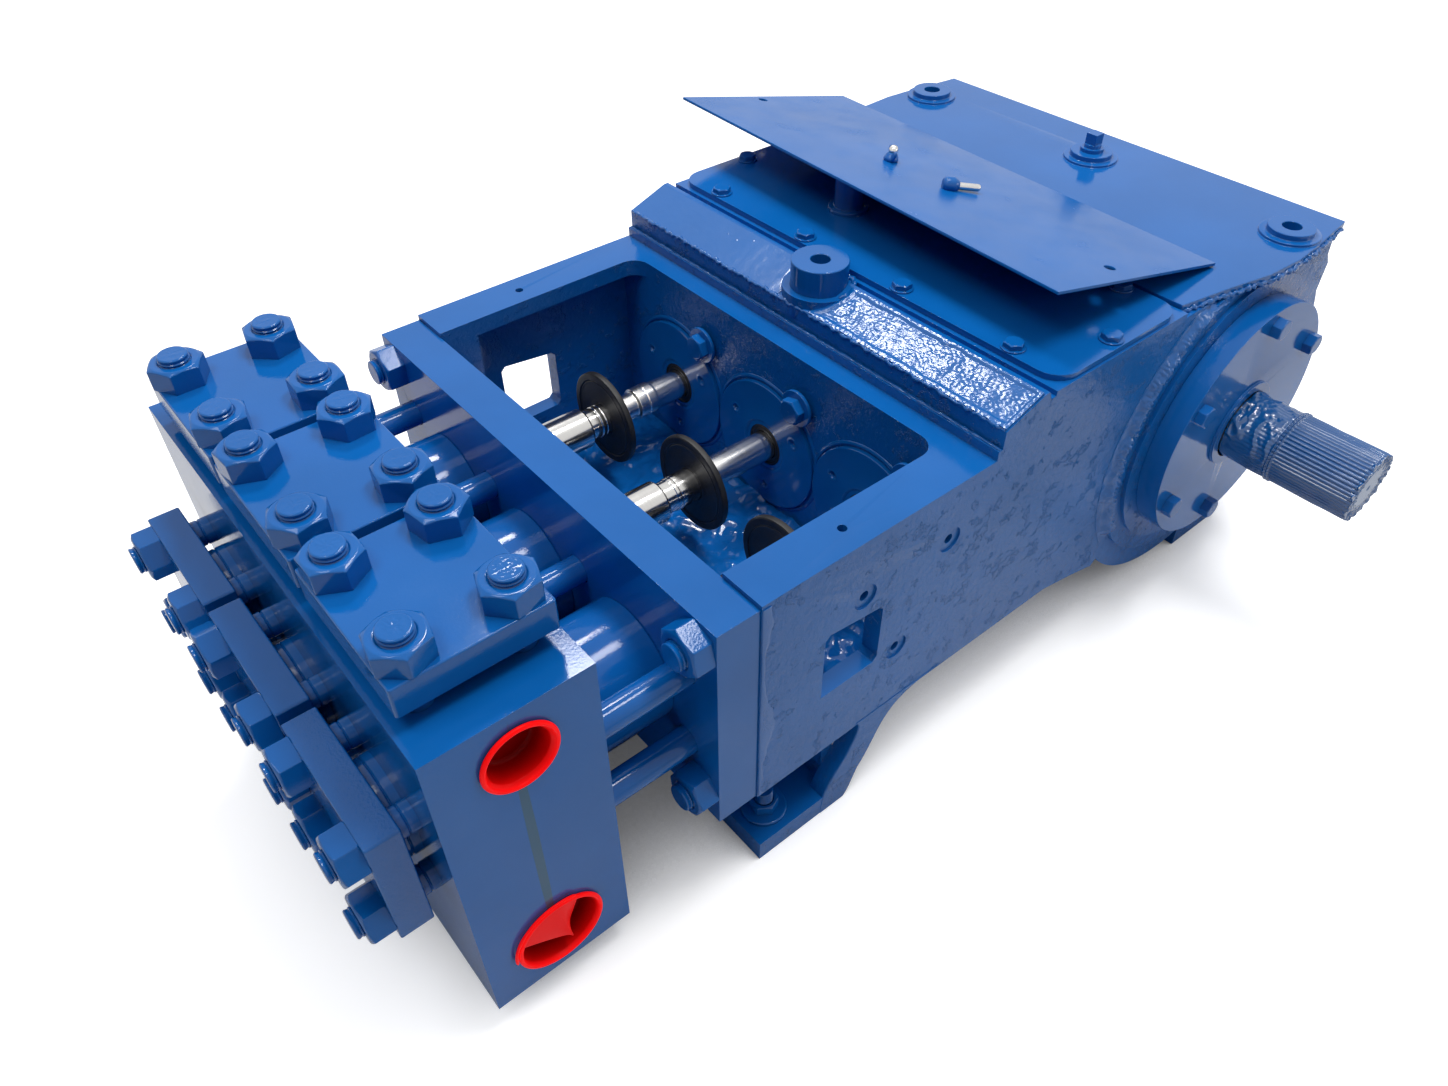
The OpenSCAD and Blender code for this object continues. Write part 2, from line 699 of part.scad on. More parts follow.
module bearing_bolts() {
    color(blue) for (s = [-1, 1], a = [30 : 60 : 330])
        translate([crank_x + bearing_bolt_ring * cos(a), s * bearing_y, axis_z + bearing_bolt_ring * sin(a)]) rotate([-90 * s, 0, 0]) {
            cylinder(h = bolt_head_h + 3, r = bolt_head_r + 2, $fn = 6);
            translate([0, 0, -bearing_t - 12]) cylinder(h = bearing_t + 13, r = bolt_r, $fn = fn_small);
        }
}

module crankshaft() {
    color(steel) {
        rod_y(-half_w, half_w, crank_x, axis_z, journal_r);
        rod_y(-shaft_end, -half_w + 1, crank_x, axis_z, shaft_r);
    }
}

module shaft_sleeve() {
    color(blue) difference() {
        union() {
            rod_y(-shaft_end - 3, -bearing_y - seal_rim_t - 0.5, crank_x, axis_z, sleeve_r - 0.6);
            rod_y(-bearing_y - 28, -bearing_y - 22, crank_x, axis_z, sleeve_r);
        }
        rod_y(-shaft_end - 4, -bearing_y + 1, crank_x, axis_z, shaft_r + seat);
    }
}

// Hold-down bolts in the front feet
module foot_bolts() {
    color(blue) for (y = [-foot_gauge / 2, foot_gauge / 2])
        translate([-foot_span / 2, y, 0]) {
            difference() {
                union() {
                    translate([0, 0, foot_t]) cylinder(h = washer_h, r = foot_washer_r, $fn = fn_mid);
                    translate([0, 0, foot_t + washer_h]) cylinder(h = foot_nut_h, r = 15, $fn = 6);
                }
                translate([0, 0, foot_t - lap]) cylinder(h = foot_open + lap, r = foot_hole_r, $fn = fn_small);
            }
            translate([0, 0, foot_t + foot_open]) cylinder(h = 16, r = foot_hole_r - 1, $fn = fn_small);
        }
}

// Protective caps in the manifold ports
module port_cap(s, z, r) {
    translate([block_x, s * block_w / 2, z]) rotate([-90 * s, 0, 0]) difference() {
        union() {
            cylinder(h = 4.5, r = r + 5.5, $fn = fn_big);
            translate([0, 0, -22]) cylinder(h = 23, r = r - seat, $fn = fn_big);
        }
        translate([0, 0, -20]) cylinder(h = 30, r = r - 2, $fn = fn_big);
    }
}

module port_caps() {
    color(red) for (s = [-1, 1]) {
        port_cap(s, discharge_z, discharge_r);
        port_cap(s, suction_z, suction_r);
    }
}

power_frame();
crankcase_deck();
crosshead_cover();
crosshead_cover_bolts();
filler_neck();
cradle_cover();
wing_screws();
deck_plug();
adapter_plate();
adapter_studs();
fluid_block();
valve_plugs();
top_cover_1();
top_cover_2();
top_cover_3();
top_studs();
front_plugs();
front_cover_1();
front_cover_2();
front_cover_3();
front_studs();
stuffing_box_1();
stuffing_box_2();
stuffing_box_3();
gland_nuts();
tie_rods();
plunger_1();
plunger_2();
plunger_3();
pony_rod_1();
pony_rod_2();
pony_rod_3();
deflector_disc_1();
deflector_disc_2();
deflector_disc_3();
wiper_plates();
wiper_bolts();
bearing_cover_near();
bearing_cover_far();
bearing_bolts();
crankshaft();
shaft_sleeve();
foot_bolts();
port_caps();
lifting_boss();
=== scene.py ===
import json
import math

import bmesh
import bpy
import numpy as np
from mathutils import Matrix, Vector


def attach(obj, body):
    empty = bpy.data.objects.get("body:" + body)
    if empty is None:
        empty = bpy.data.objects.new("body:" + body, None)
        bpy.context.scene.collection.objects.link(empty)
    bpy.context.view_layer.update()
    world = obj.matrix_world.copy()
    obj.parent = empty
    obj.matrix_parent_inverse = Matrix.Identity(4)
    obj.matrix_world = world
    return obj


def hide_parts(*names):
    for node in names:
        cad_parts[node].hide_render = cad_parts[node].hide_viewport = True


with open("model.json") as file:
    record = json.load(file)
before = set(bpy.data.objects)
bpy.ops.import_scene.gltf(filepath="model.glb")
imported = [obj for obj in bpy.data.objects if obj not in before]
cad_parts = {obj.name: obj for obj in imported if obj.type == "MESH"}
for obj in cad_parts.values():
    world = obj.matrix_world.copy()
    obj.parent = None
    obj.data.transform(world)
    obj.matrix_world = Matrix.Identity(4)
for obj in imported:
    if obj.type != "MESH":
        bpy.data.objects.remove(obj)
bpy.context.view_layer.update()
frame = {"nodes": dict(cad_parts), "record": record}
print("frame loaded:", len(frame["nodes"]), "nodes")

# All shapes are worked out in millimetres in the part's own frame and scaled once, in addPiece.
mm = 0.001
axisZ = 231.0                      # plunger and crankshaft height
cylinderY = (150.0, 0.0, -150.0)   # far, middle, near
crankX = 271.0                     # crankshaft
wallX = -147.0                     # rear wall of the cradle
plateX = -433.7                    # front face of the adapter plate


# The camera was solved from the photograph: where it stands and its three axes.
camera = {
    "place": (-0.75572, -0.67036, 0.93398),
    "right": (0.770270, -0.637684, -0.006609),
    "down": (-0.440096, -0.524043, -0.729174),
    "ahead": (0.461519, 0.564569, -0.684297),
    "focalPixels": 1064.45,
    "imageWidth": 1448.0,
    "sensorWidth": 36.0,
    "clip": (0.01, 50.0),
}

studio = {
    "lampAim": (-0.05, 0.0, 0.3),
    "lamps": {                      # place, size and power of each softbox, in metres and watts
        "rearBox": ((0.20, 1.18, 2.50), (0.42, 0.48), 19.0),
        "nearBox": ((0.32, -0.42, 2.50), (1.0, 0.36), 21.0),
        "frontBox": ((-1.25, 0.0, 2.40), (0.7, 0.7), 9.0),
        "sideBox": ((1.90, -2.20, 1.10), (1.0, 0.8), 9.0),
    },
    "skyStops": [(0.50, 0.0), (0.72, 0.03), (0.86, 0.32), (0.94, 0.76), (1.0, 0.95)],   # strength from the horizon up
    "floorSeen": 0.95,              # floor colour for the camera and in reflections
    "floorBounce": 0.89,            # floor colour that lights the pump from below
    "floorLift": 0.62,              # light added to the floor for the camera only, less near the pump
    "shadeReach": 0.30,             # how far the pump darkens the floor, in metres
    "shadeSamples": 20,
    "floorStops": [(0.0, 0.021053), (0.28, 0.45), (0.6, 1.0)],          # floor colour, from full shade to none
    "liftStops": [(0.0, 0.0), (0.25, 0.22), (0.5, 0.82), (0.78, 1.0)],  # added light, from full shade to none
    "floorReach": 12.0,
}


def addObject(name, data):
    thing = bpy.data.objects.new(name, data)
    bpy.context.scene.collection.objects.link(thing)
    return thing


def makeCamera():
    # The camera's axes are the columns of its matrix: right, up, and back along the view.
    data = bpy.data.cameras.new("camera")
    cam = addObject("camera", data)
    right = Vector(camera["right"]).normalized()
    back = -Vector(camera["ahead"]).normalized()
    up = back.cross(right).normalized()
    turn = Matrix((right, up, back)).transposed().to_4x4()
    cam.matrix_world = Matrix.Translation(camera["place"]) @ turn
    data.sensor_width = camera["sensorWidth"]
    data.lens = camera["focalPixels"] / camera["imageWidth"] * camera["sensorWidth"]
    data.clip_start, data.clip_end = camera["clip"]
    bpy.context.scene.camera = cam


def areaLamp(name, place, size, power):
    # A rectangular softbox, turned to the point that all the lamps aim at.
    data = bpy.data.lights.new(name, "AREA")
    data.shape = "RECTANGLE"
    data.size, data.size_y = size
    data.energy = power
    lamp = addObject(name, data)
    lamp.location = place
    lamp.rotation_euler = (Vector(studio["lampAim"]) - Vector(place)).to_track_quat("-Z", "Y").to_euler()


def nodeOf(tree, kind, out=0, **inputs):
    # A node of one kind with its named inputs filled; gives one of its outputs.
    node = tree.nodes.new("ShaderNode" + kind)
    for name, given in inputs.items():
        put(tree, node, name.replace("_", " "), given)
    return node.outputs[out]


def put(tree, node, socket, given):
    # A value into one socket, or a link where an output is given.
    if isinstance(given, bpy.types.NodeSocket):
        tree.links.new(given, node.inputs[socket])
    else:
        node.inputs[socket].default_value = given


def mathOf(tree, operation, *given, clamp=False):
    node = tree.nodes.new("ShaderNodeMath")
    node.operation, node.use_clamp = operation, clamp
    for index, value in enumerate(given):
        put(tree, node, index, value)
    return node.outputs[0]


def rampOf(tree, value, stops):
    # stops: list of (position, colour or grey)
    node = tree.nodes.new("ShaderNodeValToRGB")
    ramp = node.color_ramp
    while len(ramp.elements) < len(stops):
        ramp.elements.new(0.5)
    for element, (at, colour) in zip(ramp.elements, stops):
        element.position = at
        element.color = (*colour, 1) if isinstance(colour, tuple) else (colour, colour, colour, 1)
    tree.links.new(value, node.inputs[0])
    return node.outputs[0]


def mixOf(tree, share, first, second):
    node = tree.nodes.new("ShaderNodeMixShader")
    for index, given in enumerate((share, first, second)):
        put(tree, node, index, given)
    return node.outputs[0]


def seenDirectly(tree):
    # 1 for rays from the camera and in the reflections that it sees, 0 for the rays that light the pump.
    path = tree.nodes.new("ShaderNodeLightPath")
    most = path.outputs["Is Camera Ray"]
    for kind in ("Is Glossy Ray", "Is Transmission Ray"):
        most = mathOf(tree, "MAXIMUM", most, path.outputs[kind])
    return mathOf(tree, "SUBTRACT", most, path.outputs["Diffuse Depth"], clamp=True)


def makeWorld():
    # The sky that lights the pump grows from a dim horizon to a bright top; seen directly it is plain white.
    world = bpy.data.worlds.new("studio")
    bpy.context.scene.world = world
    world.use_nodes = True
    tree = world.node_tree
    tree.nodes.clear()
    out = tree.nodes.new("ShaderNodeOutputWorld")
    height = nodeOf(tree, "SeparateXYZ", "Z", Vector=nodeOf(tree, "TexCoord", "Generated"))
    fromGround = mathOf(tree, "MULTIPLY_ADD", height, 0.5, 0.5)
    sky = nodeOf(tree, "Background", Color=rampOf(tree, fromGround, studio["skyStops"]))
    white = nodeOf(tree, "Background", Color=(1, 1, 1, 1))
    tree.links.new(mixOf(tree, seenDirectly(tree), sky, white), out.inputs[0])


def makeFloor():
    # Seen directly the floor is near white, darker in the pump's shade; for other rays it is a plain bounce.
    reach = studio["floorReach"]
    mesh = bpy.data.meshes.new("floor")
    mesh.from_pydata([(-reach, -reach, 0), (reach, -reach, 0), (reach, reach, 0), (-reach, reach, 0)],
                     [], [(0, 1, 2, 3)])
    floor = addObject("floor", mesh)
    mat = bpy.data.materials.new("floorWhite")
    mat.use_nodes = True
    tree = mat.node_tree
    tree.nodes.clear()
    out = tree.nodes.new("ShaderNodeOutputMaterial")
    nearness = tree.nodes.new("ShaderNodeAmbientOcclusion")
    nearness.inputs["Distance"].default_value = studio["shadeReach"]
    nearness.samples = studio["shadeSamples"]
    shade, whole = nearness.outputs["AO"], studio["floorSeen"]
    seenColour = rampOf(tree, shade, [(at, level * whole) for at, level in studio["floorStops"]])
    seen = nodeOf(tree, "BsdfDiffuse", Color=seenColour)
    bounce = nodeOf(tree, "BsdfDiffuse", Color=(*[studio["floorBounce"]] * 3, 1))
    share = mathOf(tree, "MULTIPLY", nodeOf(tree, "LightPath", "Is Camera Ray"), studio["floorLift"])
    lift = nodeOf(tree, "Emission", Color=rampOf(tree, shade, studio["liftStops"]), Strength=share)
    add = tree.nodes.new("ShaderNodeAddShader")
    tree.links.new(seen, add.inputs[0])
    tree.links.new(lift, add.inputs[1])
    tree.links.new(mixOf(tree, seenDirectly(tree), bounce, add.outputs[0]), out.inputs[0])
    mesh.materials.append(mat)


makeCamera()
makeWorld()
makeFloor()
for lampName, (lampPlace, lampSize, lampPower) in studio["lamps"].items():
    areaLamp(lampName, lampPlace, lampSize, lampPower)
bpy.context.scene.view_settings.view_transform = "Standard"
print("camera and studio made")


# Materials, all on Object coordinates
def newMaterial(name):
    mat = bpy.data.materials.new(name)
    mat.use_nodes = True
    tree = mat.node_tree
    return mat, tree, tree.nodes["Principled BSDF"], nodeOf(tree, "TexCoord", "Object")


def noiseOf(tree, place, scale, detail=3.0, rough=0.55, stretch=None):
    # Noise over a place; stretch multiplies the place axis by axis first.
    if stretch:
        place = nodeOf(tree, "Mapping", Vector=place, Scale=stretch)
    return nodeOf(tree, "TexNoise", "Fac", Vector=place, Scale=scale, Detail=detail, Roughness=rough)


def bumpOf(tree, height, distance, strength=1.0, **onto):
    return nodeOf(tree, "Bump", Height=height, Distance=distance, Strength=strength, **onto)


paint = {                           # two tones of each colour
    "body": ((0.002, 0.110, 0.395), (0.005, 0.132, 0.465)),
    "wrap": ((0.002, 0.080, 0.270), (0.005, 0.105, 0.340)),
}


def paintMaterial(name, gloss=(0.06, 0.15), castBump=0.0, fineBump=0.00006, shine=0.32, tones="body"):
    # Enamel over iron: two tones drifting slowly, orange-peel bump, and casting waves where castBump is set.
    mat, tree, shader, place = newMaterial(name)
    colour = rampOf(tree, noiseOf(tree, place, 7.0, 4.0), list(zip((0.3, 0.7), paint[tones])))
    put(tree, shader, "Base Color", colour)
    patch = noiseOf(tree, place, 23.0, 5.0, 0.6)
    put(tree, shader, "Roughness", rampOf(tree, patch, [(0.3, gloss[0]), (0.75, gloss[1])]))
    normal = bumpOf(tree, noiseOf(tree, place, 420.0, 2.0), fineBump)
    if castBump:
        # The casting's texture fades out on the machined faces that look up.
        faceUp = nodeOf(tree, "SeparateXYZ", "Z", Vector=nodeOf(tree, "NewGeometry", "Normal"))
        upright = rampOf(tree, faceUp, [(0.5, 1.0), (0.9, 0.06)])
        smears = rampOf(tree, noiseOf(tree, place, 46.0, 6.0, 0.7), [(0.57, 0.0), (0.62, 1.0)])
        for height, share in ((noiseOf(tree, place, 60.0, 5.0, 0.6), 1.0),
                              (noiseOf(tree, place, 190.0, 4.0, 0.6), 0.6), (smears, 0.6)):
            normal = bumpOf(tree, height, castBump * share, upright, Normal=normal)
    put(tree, shader, "Normal", normal)
    shader.inputs["Specular IOR Level"].default_value = shine
    return mat


def steelMaterial(name, tint, roughness, lineDepth=0.00001):
    # Turned steel: fine rings round the X axis in tone, roughness and bump.
    mat, tree, shader, place = newMaterial(name)
    lines = noiseOf(tree, place, 90.0, 3.0, 0.5, (12.0, 0.25, 0.25))
    put(tree, shader, "Base Color", rampOf(tree, lines, [(0.3, tuple(c * 0.95 for c in tint)), (0.7, tint)]))
    put(tree, shader, "Roughness", rampOf(tree, lines, [(0.3, roughness * 0.9), (0.7, roughness * 1.1)]))
    put(tree, shader, "Normal", bumpOf(tree, lines, lineDepth))
    shader.inputs["Metallic"].default_value = 1.0
    return mat


def rubberMaterial():
    # Black rubber, greyer and duller where dust has settled.
    mat, tree, shader, place = newMaterial("blackRubber")
    dust = noiseOf(tree, place, 60.0, 5.0, 0.65)
    put(tree, shader, "Base Color", rampOf(tree, dust, [(0.35, (0.004, 0.004, 0.005)), (0.8, (0.016, 0.016, 0.018))]))
    put(tree, shader, "Roughness", rampOf(tree, dust, [(0.3, 0.42), (0.8, 0.62)]))
    put(tree, shader, "Normal", bumpOf(tree, noiseOf(tree, place, 300.0, 3.0), 0.00008))
    return mat


def redMaterial(name, rimPaintedLight, evenPaintedLight):
    # Red plastic. Painted shade: its colour darkens with depth below the block's end face.
    # Painted light: an emission glow at the rim, set by the second argument, and an even emission glow all over, set by
    # the third.
    mat, tree, shader, place = newMaterial(name)
    out = mathOf(tree, "ABSOLUTE", nodeOf(tree, "SeparateXYZ", "Y", Vector=place))

    def between(low, high):
        span = tree.nodes.new("ShaderNodeMapRange")
        for socket, given in (("From Min", low), ("From Max", high), ("Value", out)):
            put(tree, span, socket, given)
        return span.outputs[0]

    flow = noiseOf(tree, place, 35.0, 3.0)
    # Painted shade: the base colour runs from dark red deep in the cap to bright red at the block's face.
    depth = mathOf(tree, "MULTIPLY_ADD", flow, 0.12, between(0.228, 0.250))
    put(tree, shader, "Base Color", rampOf(tree, depth, [(0.05, (0.20, 0.0, 0.0)), (0.45, (0.42, 0.001, 0.001)),
                                                         (1.0, (0.98, 0.004, 0.004))]))
    put(tree, shader, "Roughness", rampOf(tree, flow, [(0.3, 0.30), (0.75, 0.40)]))
    put(tree, shader, "Normal", bumpOf(tree, noiseOf(tree, place, 240.0, 2.0), 0.00005))
    shader.inputs["Specular IOR Level"].default_value = 0.07
    # Painted light: the plastic glows red by emission, at the rim and evenly all over.
    shader.inputs["Emission Color"].default_value = (1.0, 0.006, 0.008, 1)
    shader.inputs["Emission Strength"].default_value = evenPaintedLight
    if rimPaintedLight:
        put(tree, shader, "Emission Strength", mathOf(tree, "MULTIPLY", between(0.2490, 0.2525), rimPaintedLight))
    return mat


def stainedPaint(name, centre, half):
    # Smooth enamel with dried run-off: an ellipsoid (centre, half sizes) whose edge wanders with noise.
    mat = smoothPaint.copy()
    mat.name = name
    tree = mat.node_tree
    shader = tree.nodes["Principled BSDF"]
    place = nodeOf(tree, "TexCoord", "Object")
    fit = tree.nodes.new("ShaderNodeMapping")
    fit.vector_type = "TEXTURE"
    for socket, given in (("Location", centre), ("Scale", half), ("Vector", place)):
        put(tree, fit, socket, given)
    ball = tree.nodes.new("ShaderNodeTexGradient")
    ball.gradient_type = "SPHERICAL"
    tree.links.new(fit.outputs[0], ball.inputs[0])
    edge = mathOf(tree, "MULTIPLY_ADD", noiseOf(tree, place, 30.0, 3.0), 0.10, ball.outputs["Fac"])
    blend = tree.nodes.new("ShaderNodeMix")
    blend.data_type = "RGBA"
    for socket, given in (("Factor", rampOf(tree, edge, [(0.08, 0.0), (0.22, 0.85)])),
                          ("A", shader.inputs["Base Color"].links[0].from_socket), ("B", (0.03, 0.11, 0.17, 1))):
        put(tree, blend, socket, given)
    put(tree, shader, "Base Color", blend.outputs["Result"])
    return mat


smoothPaint = paintMaterial("smoothPaint")
castPaint = paintMaterial("castPaint", (0.10, 0.24), 0.0011)
roughPaint = paintMaterial("roughPaint", (0.06, 0.13), 0.0003, 0.0001, 0.5)
wrapPaint = paintMaterial("wrapPaint", (0.05, 0.12), shine=0.9, tones="wrap")
stipplePaint = paintMaterial("stipplePaint", (0.10, 0.20), fineBump=0.0003, shine=0.4)
slopePaint = paintMaterial("slopePaint", (0.13, 0.22), 0.0004, 0.0001, 0.6)
sheetPaint = paintMaterial("sheetPaint", (0.16, 0.30), shine=0.16)
brightSteel = steelMaterial("brightSteel", (0.66, 0.65, 0.635), 0.17)
groundSteel = steelMaterial("groundSteel", (0.88, 0.87, 0.85), 0.24, 0.000003)
endSteel = steelMaterial("endSteel", (0.10, 0.16, 0.28), 0.24)
shaftSteel = steelMaterial("shaftSteel", (0.50, 0.51, 0.53), 0.30)
blackRubber = rubberMaterial()
# Both carry painted shade deeper in the cap; the caps also have painted light on the rim, and the torn flap has an even
# painted glow all over.
redPlastic = redMaterial("redPlastic", 0.36, 0.0)
redFlap = redMaterial("redFlap", 0.0, 0.13)
blockPaint = stainedPaint("blockPaint", (-0.596, -0.2495, 0.218), (0.0046, 0.02, 0.165))
slotMaterial = {"paint": smoothPaint, "bright_steel": brightSteel, "shaft_steel": shaftSteel,
                "black_rubber": blackRubber, "red_plastic": redPlastic}
slotOfNode = {row["node"]: row["material_slot"] for row in frame["record"]["subparts"]}
bodyOfNode = {node: body for body, nodes in frame["record"]["behaviour"]["bodies"].items() for node in nodes}
for nodeName, shown in frame["nodes"].items():
    shown.data.materials.clear()
    shown.data.materials.append(castPaint if nodeName == "power_frame" else slotMaterial[slotOfNode[nodeName]])
print("materials made")


# Making meshes
def unit(v):
    v = np.asarray(v, float)
    return v / np.linalg.norm(v)


def across(axis):
    # Two unit vectors square to the axis and to each other.
    axis = unit(axis)
    lead = np.array((0.0, 0.0, 1.0)) if abs(axis[2]) < 0.9 else np.array((1.0, 0.0, 0.0))
    u = unit(np.cross(lead, axis))
    return u, np.cross(axis, u)


def gridFaces(rows, cols, wrap=True):
    # Quads between neighbouring rows and columns of a grid whose points run row by row.
    r = np.arange(rows - 1)[:, None]
    c = np.arange(cols if wrap else cols - 1)[None, :]
    n = (c + 1) % cols
    quads = np.stack([r * cols + c, r * cols + n, (r + 1) * cols + n, (r + 1) * cols + c], axis=-1)
    return quads.reshape(-1, 4)


def gather(parts):
    # Several (points, quads) pairs become one.
    points, quads, start = [], [], 0
    for p, q in parts:
        points.append(p)
        quads.append(q + start)
        start += len(p)
    return np.concatenate(points), np.concatenate(quads)


def addPiece(name, part, material, body, replaced=(), sharp=38.0, bevel=0.0, caps=()):
    # Points in mm, in the part's frame, become a closed mesh in metres; caps are extra faces of any length.
    points, quads = part
    mesh = bpy.data.meshes.new(name)
    mesh.from_pydata((points * mm).tolist(), [], quads.tolist() + [list(c) for c in caps])
    work = bmesh.new()
    work.from_mesh(mesh)
    bmesh.ops.remove_doubles(work, verts=work.verts, dist=2e-6)
    bmesh.ops.dissolve_degenerate(work, edges=work.edges, dist=1e-6)
    bmesh.ops.recalc_face_normals(work, faces=work.faces)
    work.to_mesh(mesh)
    work.free()
    return finishPiece(name, mesh, material, body, replaced, sharp, bevel)


def finishPiece(name, mesh, material, body, replaced, sharp, bevel):
    # Smooth shading with sharp creases; then rounded edges, or normals that keep large faces flat.
    mesh.shade_smooth()
    mesh.set_sharp_from_angle(angle=math.radians(sharp))
    mesh.materials.clear()
    mesh.materials.append(material)
    piece = addObject(name, mesh)
    if bevel:
        edge = piece.modifiers.new("edge", "BEVEL")
        edge.width = bevel * mm
        edge.segments = 3
        edge.limit_method = "ANGLE"
        edge.angle_limit = math.radians(35)
        edge.harden_normals = True
        edge.use_clamp_overlap = True
    else:
        flat = piece.modifiers.new("flatFaces", "WEIGHTED_NORMAL")
        flat.mode = "FACE_AREA"
        flat.keep_sharp = True
    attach(piece, body)
    if replaced:
        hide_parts(*replaced)
    return piece


def carved(mesh, boxes):
    # The mesh with each box (low corner, high corner, in mm) cut out of it.
    piece = addObject("carvedPiece", mesh)
    cutters = []
    for box in boxes:
        corners = np.array([[box[i][0], box[j][1], box[k][2]] for i in (0, 1) for j in (0, 1) for k in (0, 1)])
        cube = bpy.data.meshes.new("cutter")
        cube.from_pydata((corners * mm).tolist(), [], [(0, 1, 3, 2), (4, 6, 7, 5), (0, 4, 5, 1), (2, 3, 7, 6),
                                                       (0, 2, 6, 4), (1, 5, 7, 3)])
        cutters.append(addObject("cutter", cube))
        cut = piece.modifiers.new("cut", "BOOLEAN")
        cut.operation, cut.solver, cut.object = "DIFFERENCE", "EXACT", cutters[-1]
    bpy.context.view_layer.update()
    result = bpy.data.meshes.new_from_object(piece.evaluated_get(bpy.context.evaluated_depsgraph_get()))
    for item in cutters + [piece]:
        bpy.data.objects.remove(item)
    return result


def softCopy(node, name, material, bevel, cuts=()):
    # A merged copy of a CAD node, with its flat faces whole again and its edges rounded.
    mesh = frame["nodes"][node].data.copy()
    mesh.name = name
    work = bmesh.new()
    work.from_mesh(mesh)
    bmesh.ops.remove_doubles(work, verts=work.verts, dist=1e-5)
    bmesh.ops.dissolve_limit(work, angle_limit=math.radians(0.6), verts=work.verts, edges=work.edges)
    work.to_mesh(mesh)
    work.free()
    if cuts:
        mesh = carved(mesh, cuts)
        mesh.name = name
    return finishPiece(name, mesh, material, bodyOfNode[node], (node,), 30.0, bevel)


def turned(profile, origin, axis, steps=64):
    # A profile of (distance along the axis, radius) turned round the axis.
    profile = np.asarray(profile, float)
    u, v = across(axis)
    angle = np.arange(steps) * 2 * math.pi / steps
    ring = np.cos(angle)[:, None] * u + np.sin(angle)[:, None] * v
    points = np.asarray(origin, float) + profile[:, :1, None] * unit(axis) + profile[:, 1:, None] * ring[None]
    return points.reshape(-1, 3), gridFaces(len(profile), steps)


def bar(base, axis, start, end, radius, steps=32):
    # A plain round bar between two distances along the axis.
    return turned([[start, 0], [start, radius], [end, radius], [end, 0]], base, axis, steps)


def rounded(profile, radius, steps=4):
    # A profile with each inner corner replaced by an arc-like run of points (a quadratic curve).
    profile = [np.asarray(p, float) for p in profile]
    out = [profile[0]]
    for before, here, after in zip(profile, profile[1:], profile[2:]):
        back, ahead = before - here, after - here
        backLength, aheadLength = np.linalg.norm(back), np.linalg.norm(ahead)
        r = min(radius, backLength * 0.45, aheadLength * 0.45)
        first, last = here + back / backLength * r, here + ahead / aheadLength * r
        t = np.linspace(0, 1, steps)[:, None]
        out.extend((1 - t) ** 2 * first + 2 * t * (1 - t) * here + t ** 2 * last)
    out.append(profile[-1])
    return np.array(out)


nut = {
    "flats": 20.6, "height": 20.0, "proud": 6.0, "studRadius": 12.7,
    "crown": 0.93, "slope": 1.9, "cornerPower": 90.0, "edgePower": 90.0,
    "fan": (-30, -29.3, -28.3, -26.8, -20, -10, 0, 10, 20, 26.8, 28.3, 29.3),     # degrees, points of one side
    "down": (0, 0.25, 0.5, 0.8, 1.1, 1.5, 1.9, 2.3, 2.7, 3.2, 4.0),               # rows of points below the top
    "threadPitch": 2.6, "sawnDepth": 0.08,
    "chamfer": ((2.2, 0.5), (1.2, 0.2), (0.8, 0.3), (0.25, 0.9), (0, 1.5)),       # back from the end, less radius
}


def hexNut(base, axis, flats, height, turn, bore):
    # Radius over angle and height: the smaller of a hexagon with tight corners and the chamfer cone,
    # blended by a p-norm; the top is a flat ring that dips to the stud's hole.
    angle = (turn + np.arange(6)[:, None] * math.pi / 3 + np.radians(nut["fan"])).ravel()
    sides = np.maximum(np.cos(angle[:, None] - turn - np.arange(6) * math.pi / 3), 0)
    hexagon = flats / (sides ** nut["cornerPower"]).sum(axis=1) ** (1 / nut["cornerPower"])
    s = flats / nut["flats"]
    down = np.concatenate([s * np.array(nut["down"]), [height * 0.5, height - 1.2 * s, height - 0.5 * s, height]])
    cone = flats * nut["crown"] + down * nut["slope"]
    cone[-3:] = flats * np.array([3.0, 1.165, 1.12])
    power = nut["edgePower"]
    radius = (hexagon[None, :] ** -power + cone[:, None] ** -power) ** (-1 / power)
    inner = np.array([[height - 1.6, bore], [height - 0.9, bore + 0.5 * s], [height - 0.2, bore + 1.2 * s],
                      [height, bore + 1.7 * s], [height, bore + 2.3 * s], [height, flats * nut["crown"] - 0.9 * s]])
    u, v = across(axis)
    ring = np.cos(angle)[:, None] * u + np.sin(angle)[:, None] * v
    rows = [np.asarray(base, float) + a * unit(axis) + r * ring for a, r in inner]
    rows += [np.asarray(base, float) + (height - d) * unit(axis) + r[:, None] * ring
             for d, r in zip(down, radius)]
    rows.append(np.asarray(base, float) + bore * ring)
    return np.concatenate(rows), gridFaces(len(rows), len(angle))


def studEnd(base, axis, radius, start, end, steps=48):
    # A stud's end: thread rings, a tight chamfer, and a sawn face roughened with smooth noise.
    pitch, turns, z = nut["threadPitch"], [[start, radius - 0.8]], start + 0.4
    while z + pitch < end - 1.4:
        turns += [[z, radius - 0.9], [z + pitch * 0.28, radius], [z + pitch * 0.55, radius],
                  [z + pitch * 0.83, radius - 0.9]]
        z += pitch
    turns += [[end - back, radius - less] for back, less in nut["chamfer"]]
    turns += [[end, r] for r in np.linspace(radius - 2.0, 0.0, 9)]
    points, quads = turned(turns, base, axis, steps)
    away = points - np.asarray(base, float)
    along = away @ unit(axis)
    out = np.linalg.norm(away - along[:, None] * unit(axis), axis=1)
    rough = np.clip(radius - 2.2 - out, 0, 1) * (along > end - 0.1) * nut["sawnDepth"] * (waves(points, 2.6, 9) - 0.6)
    return points + rough[:, None] * unit(axis), quads


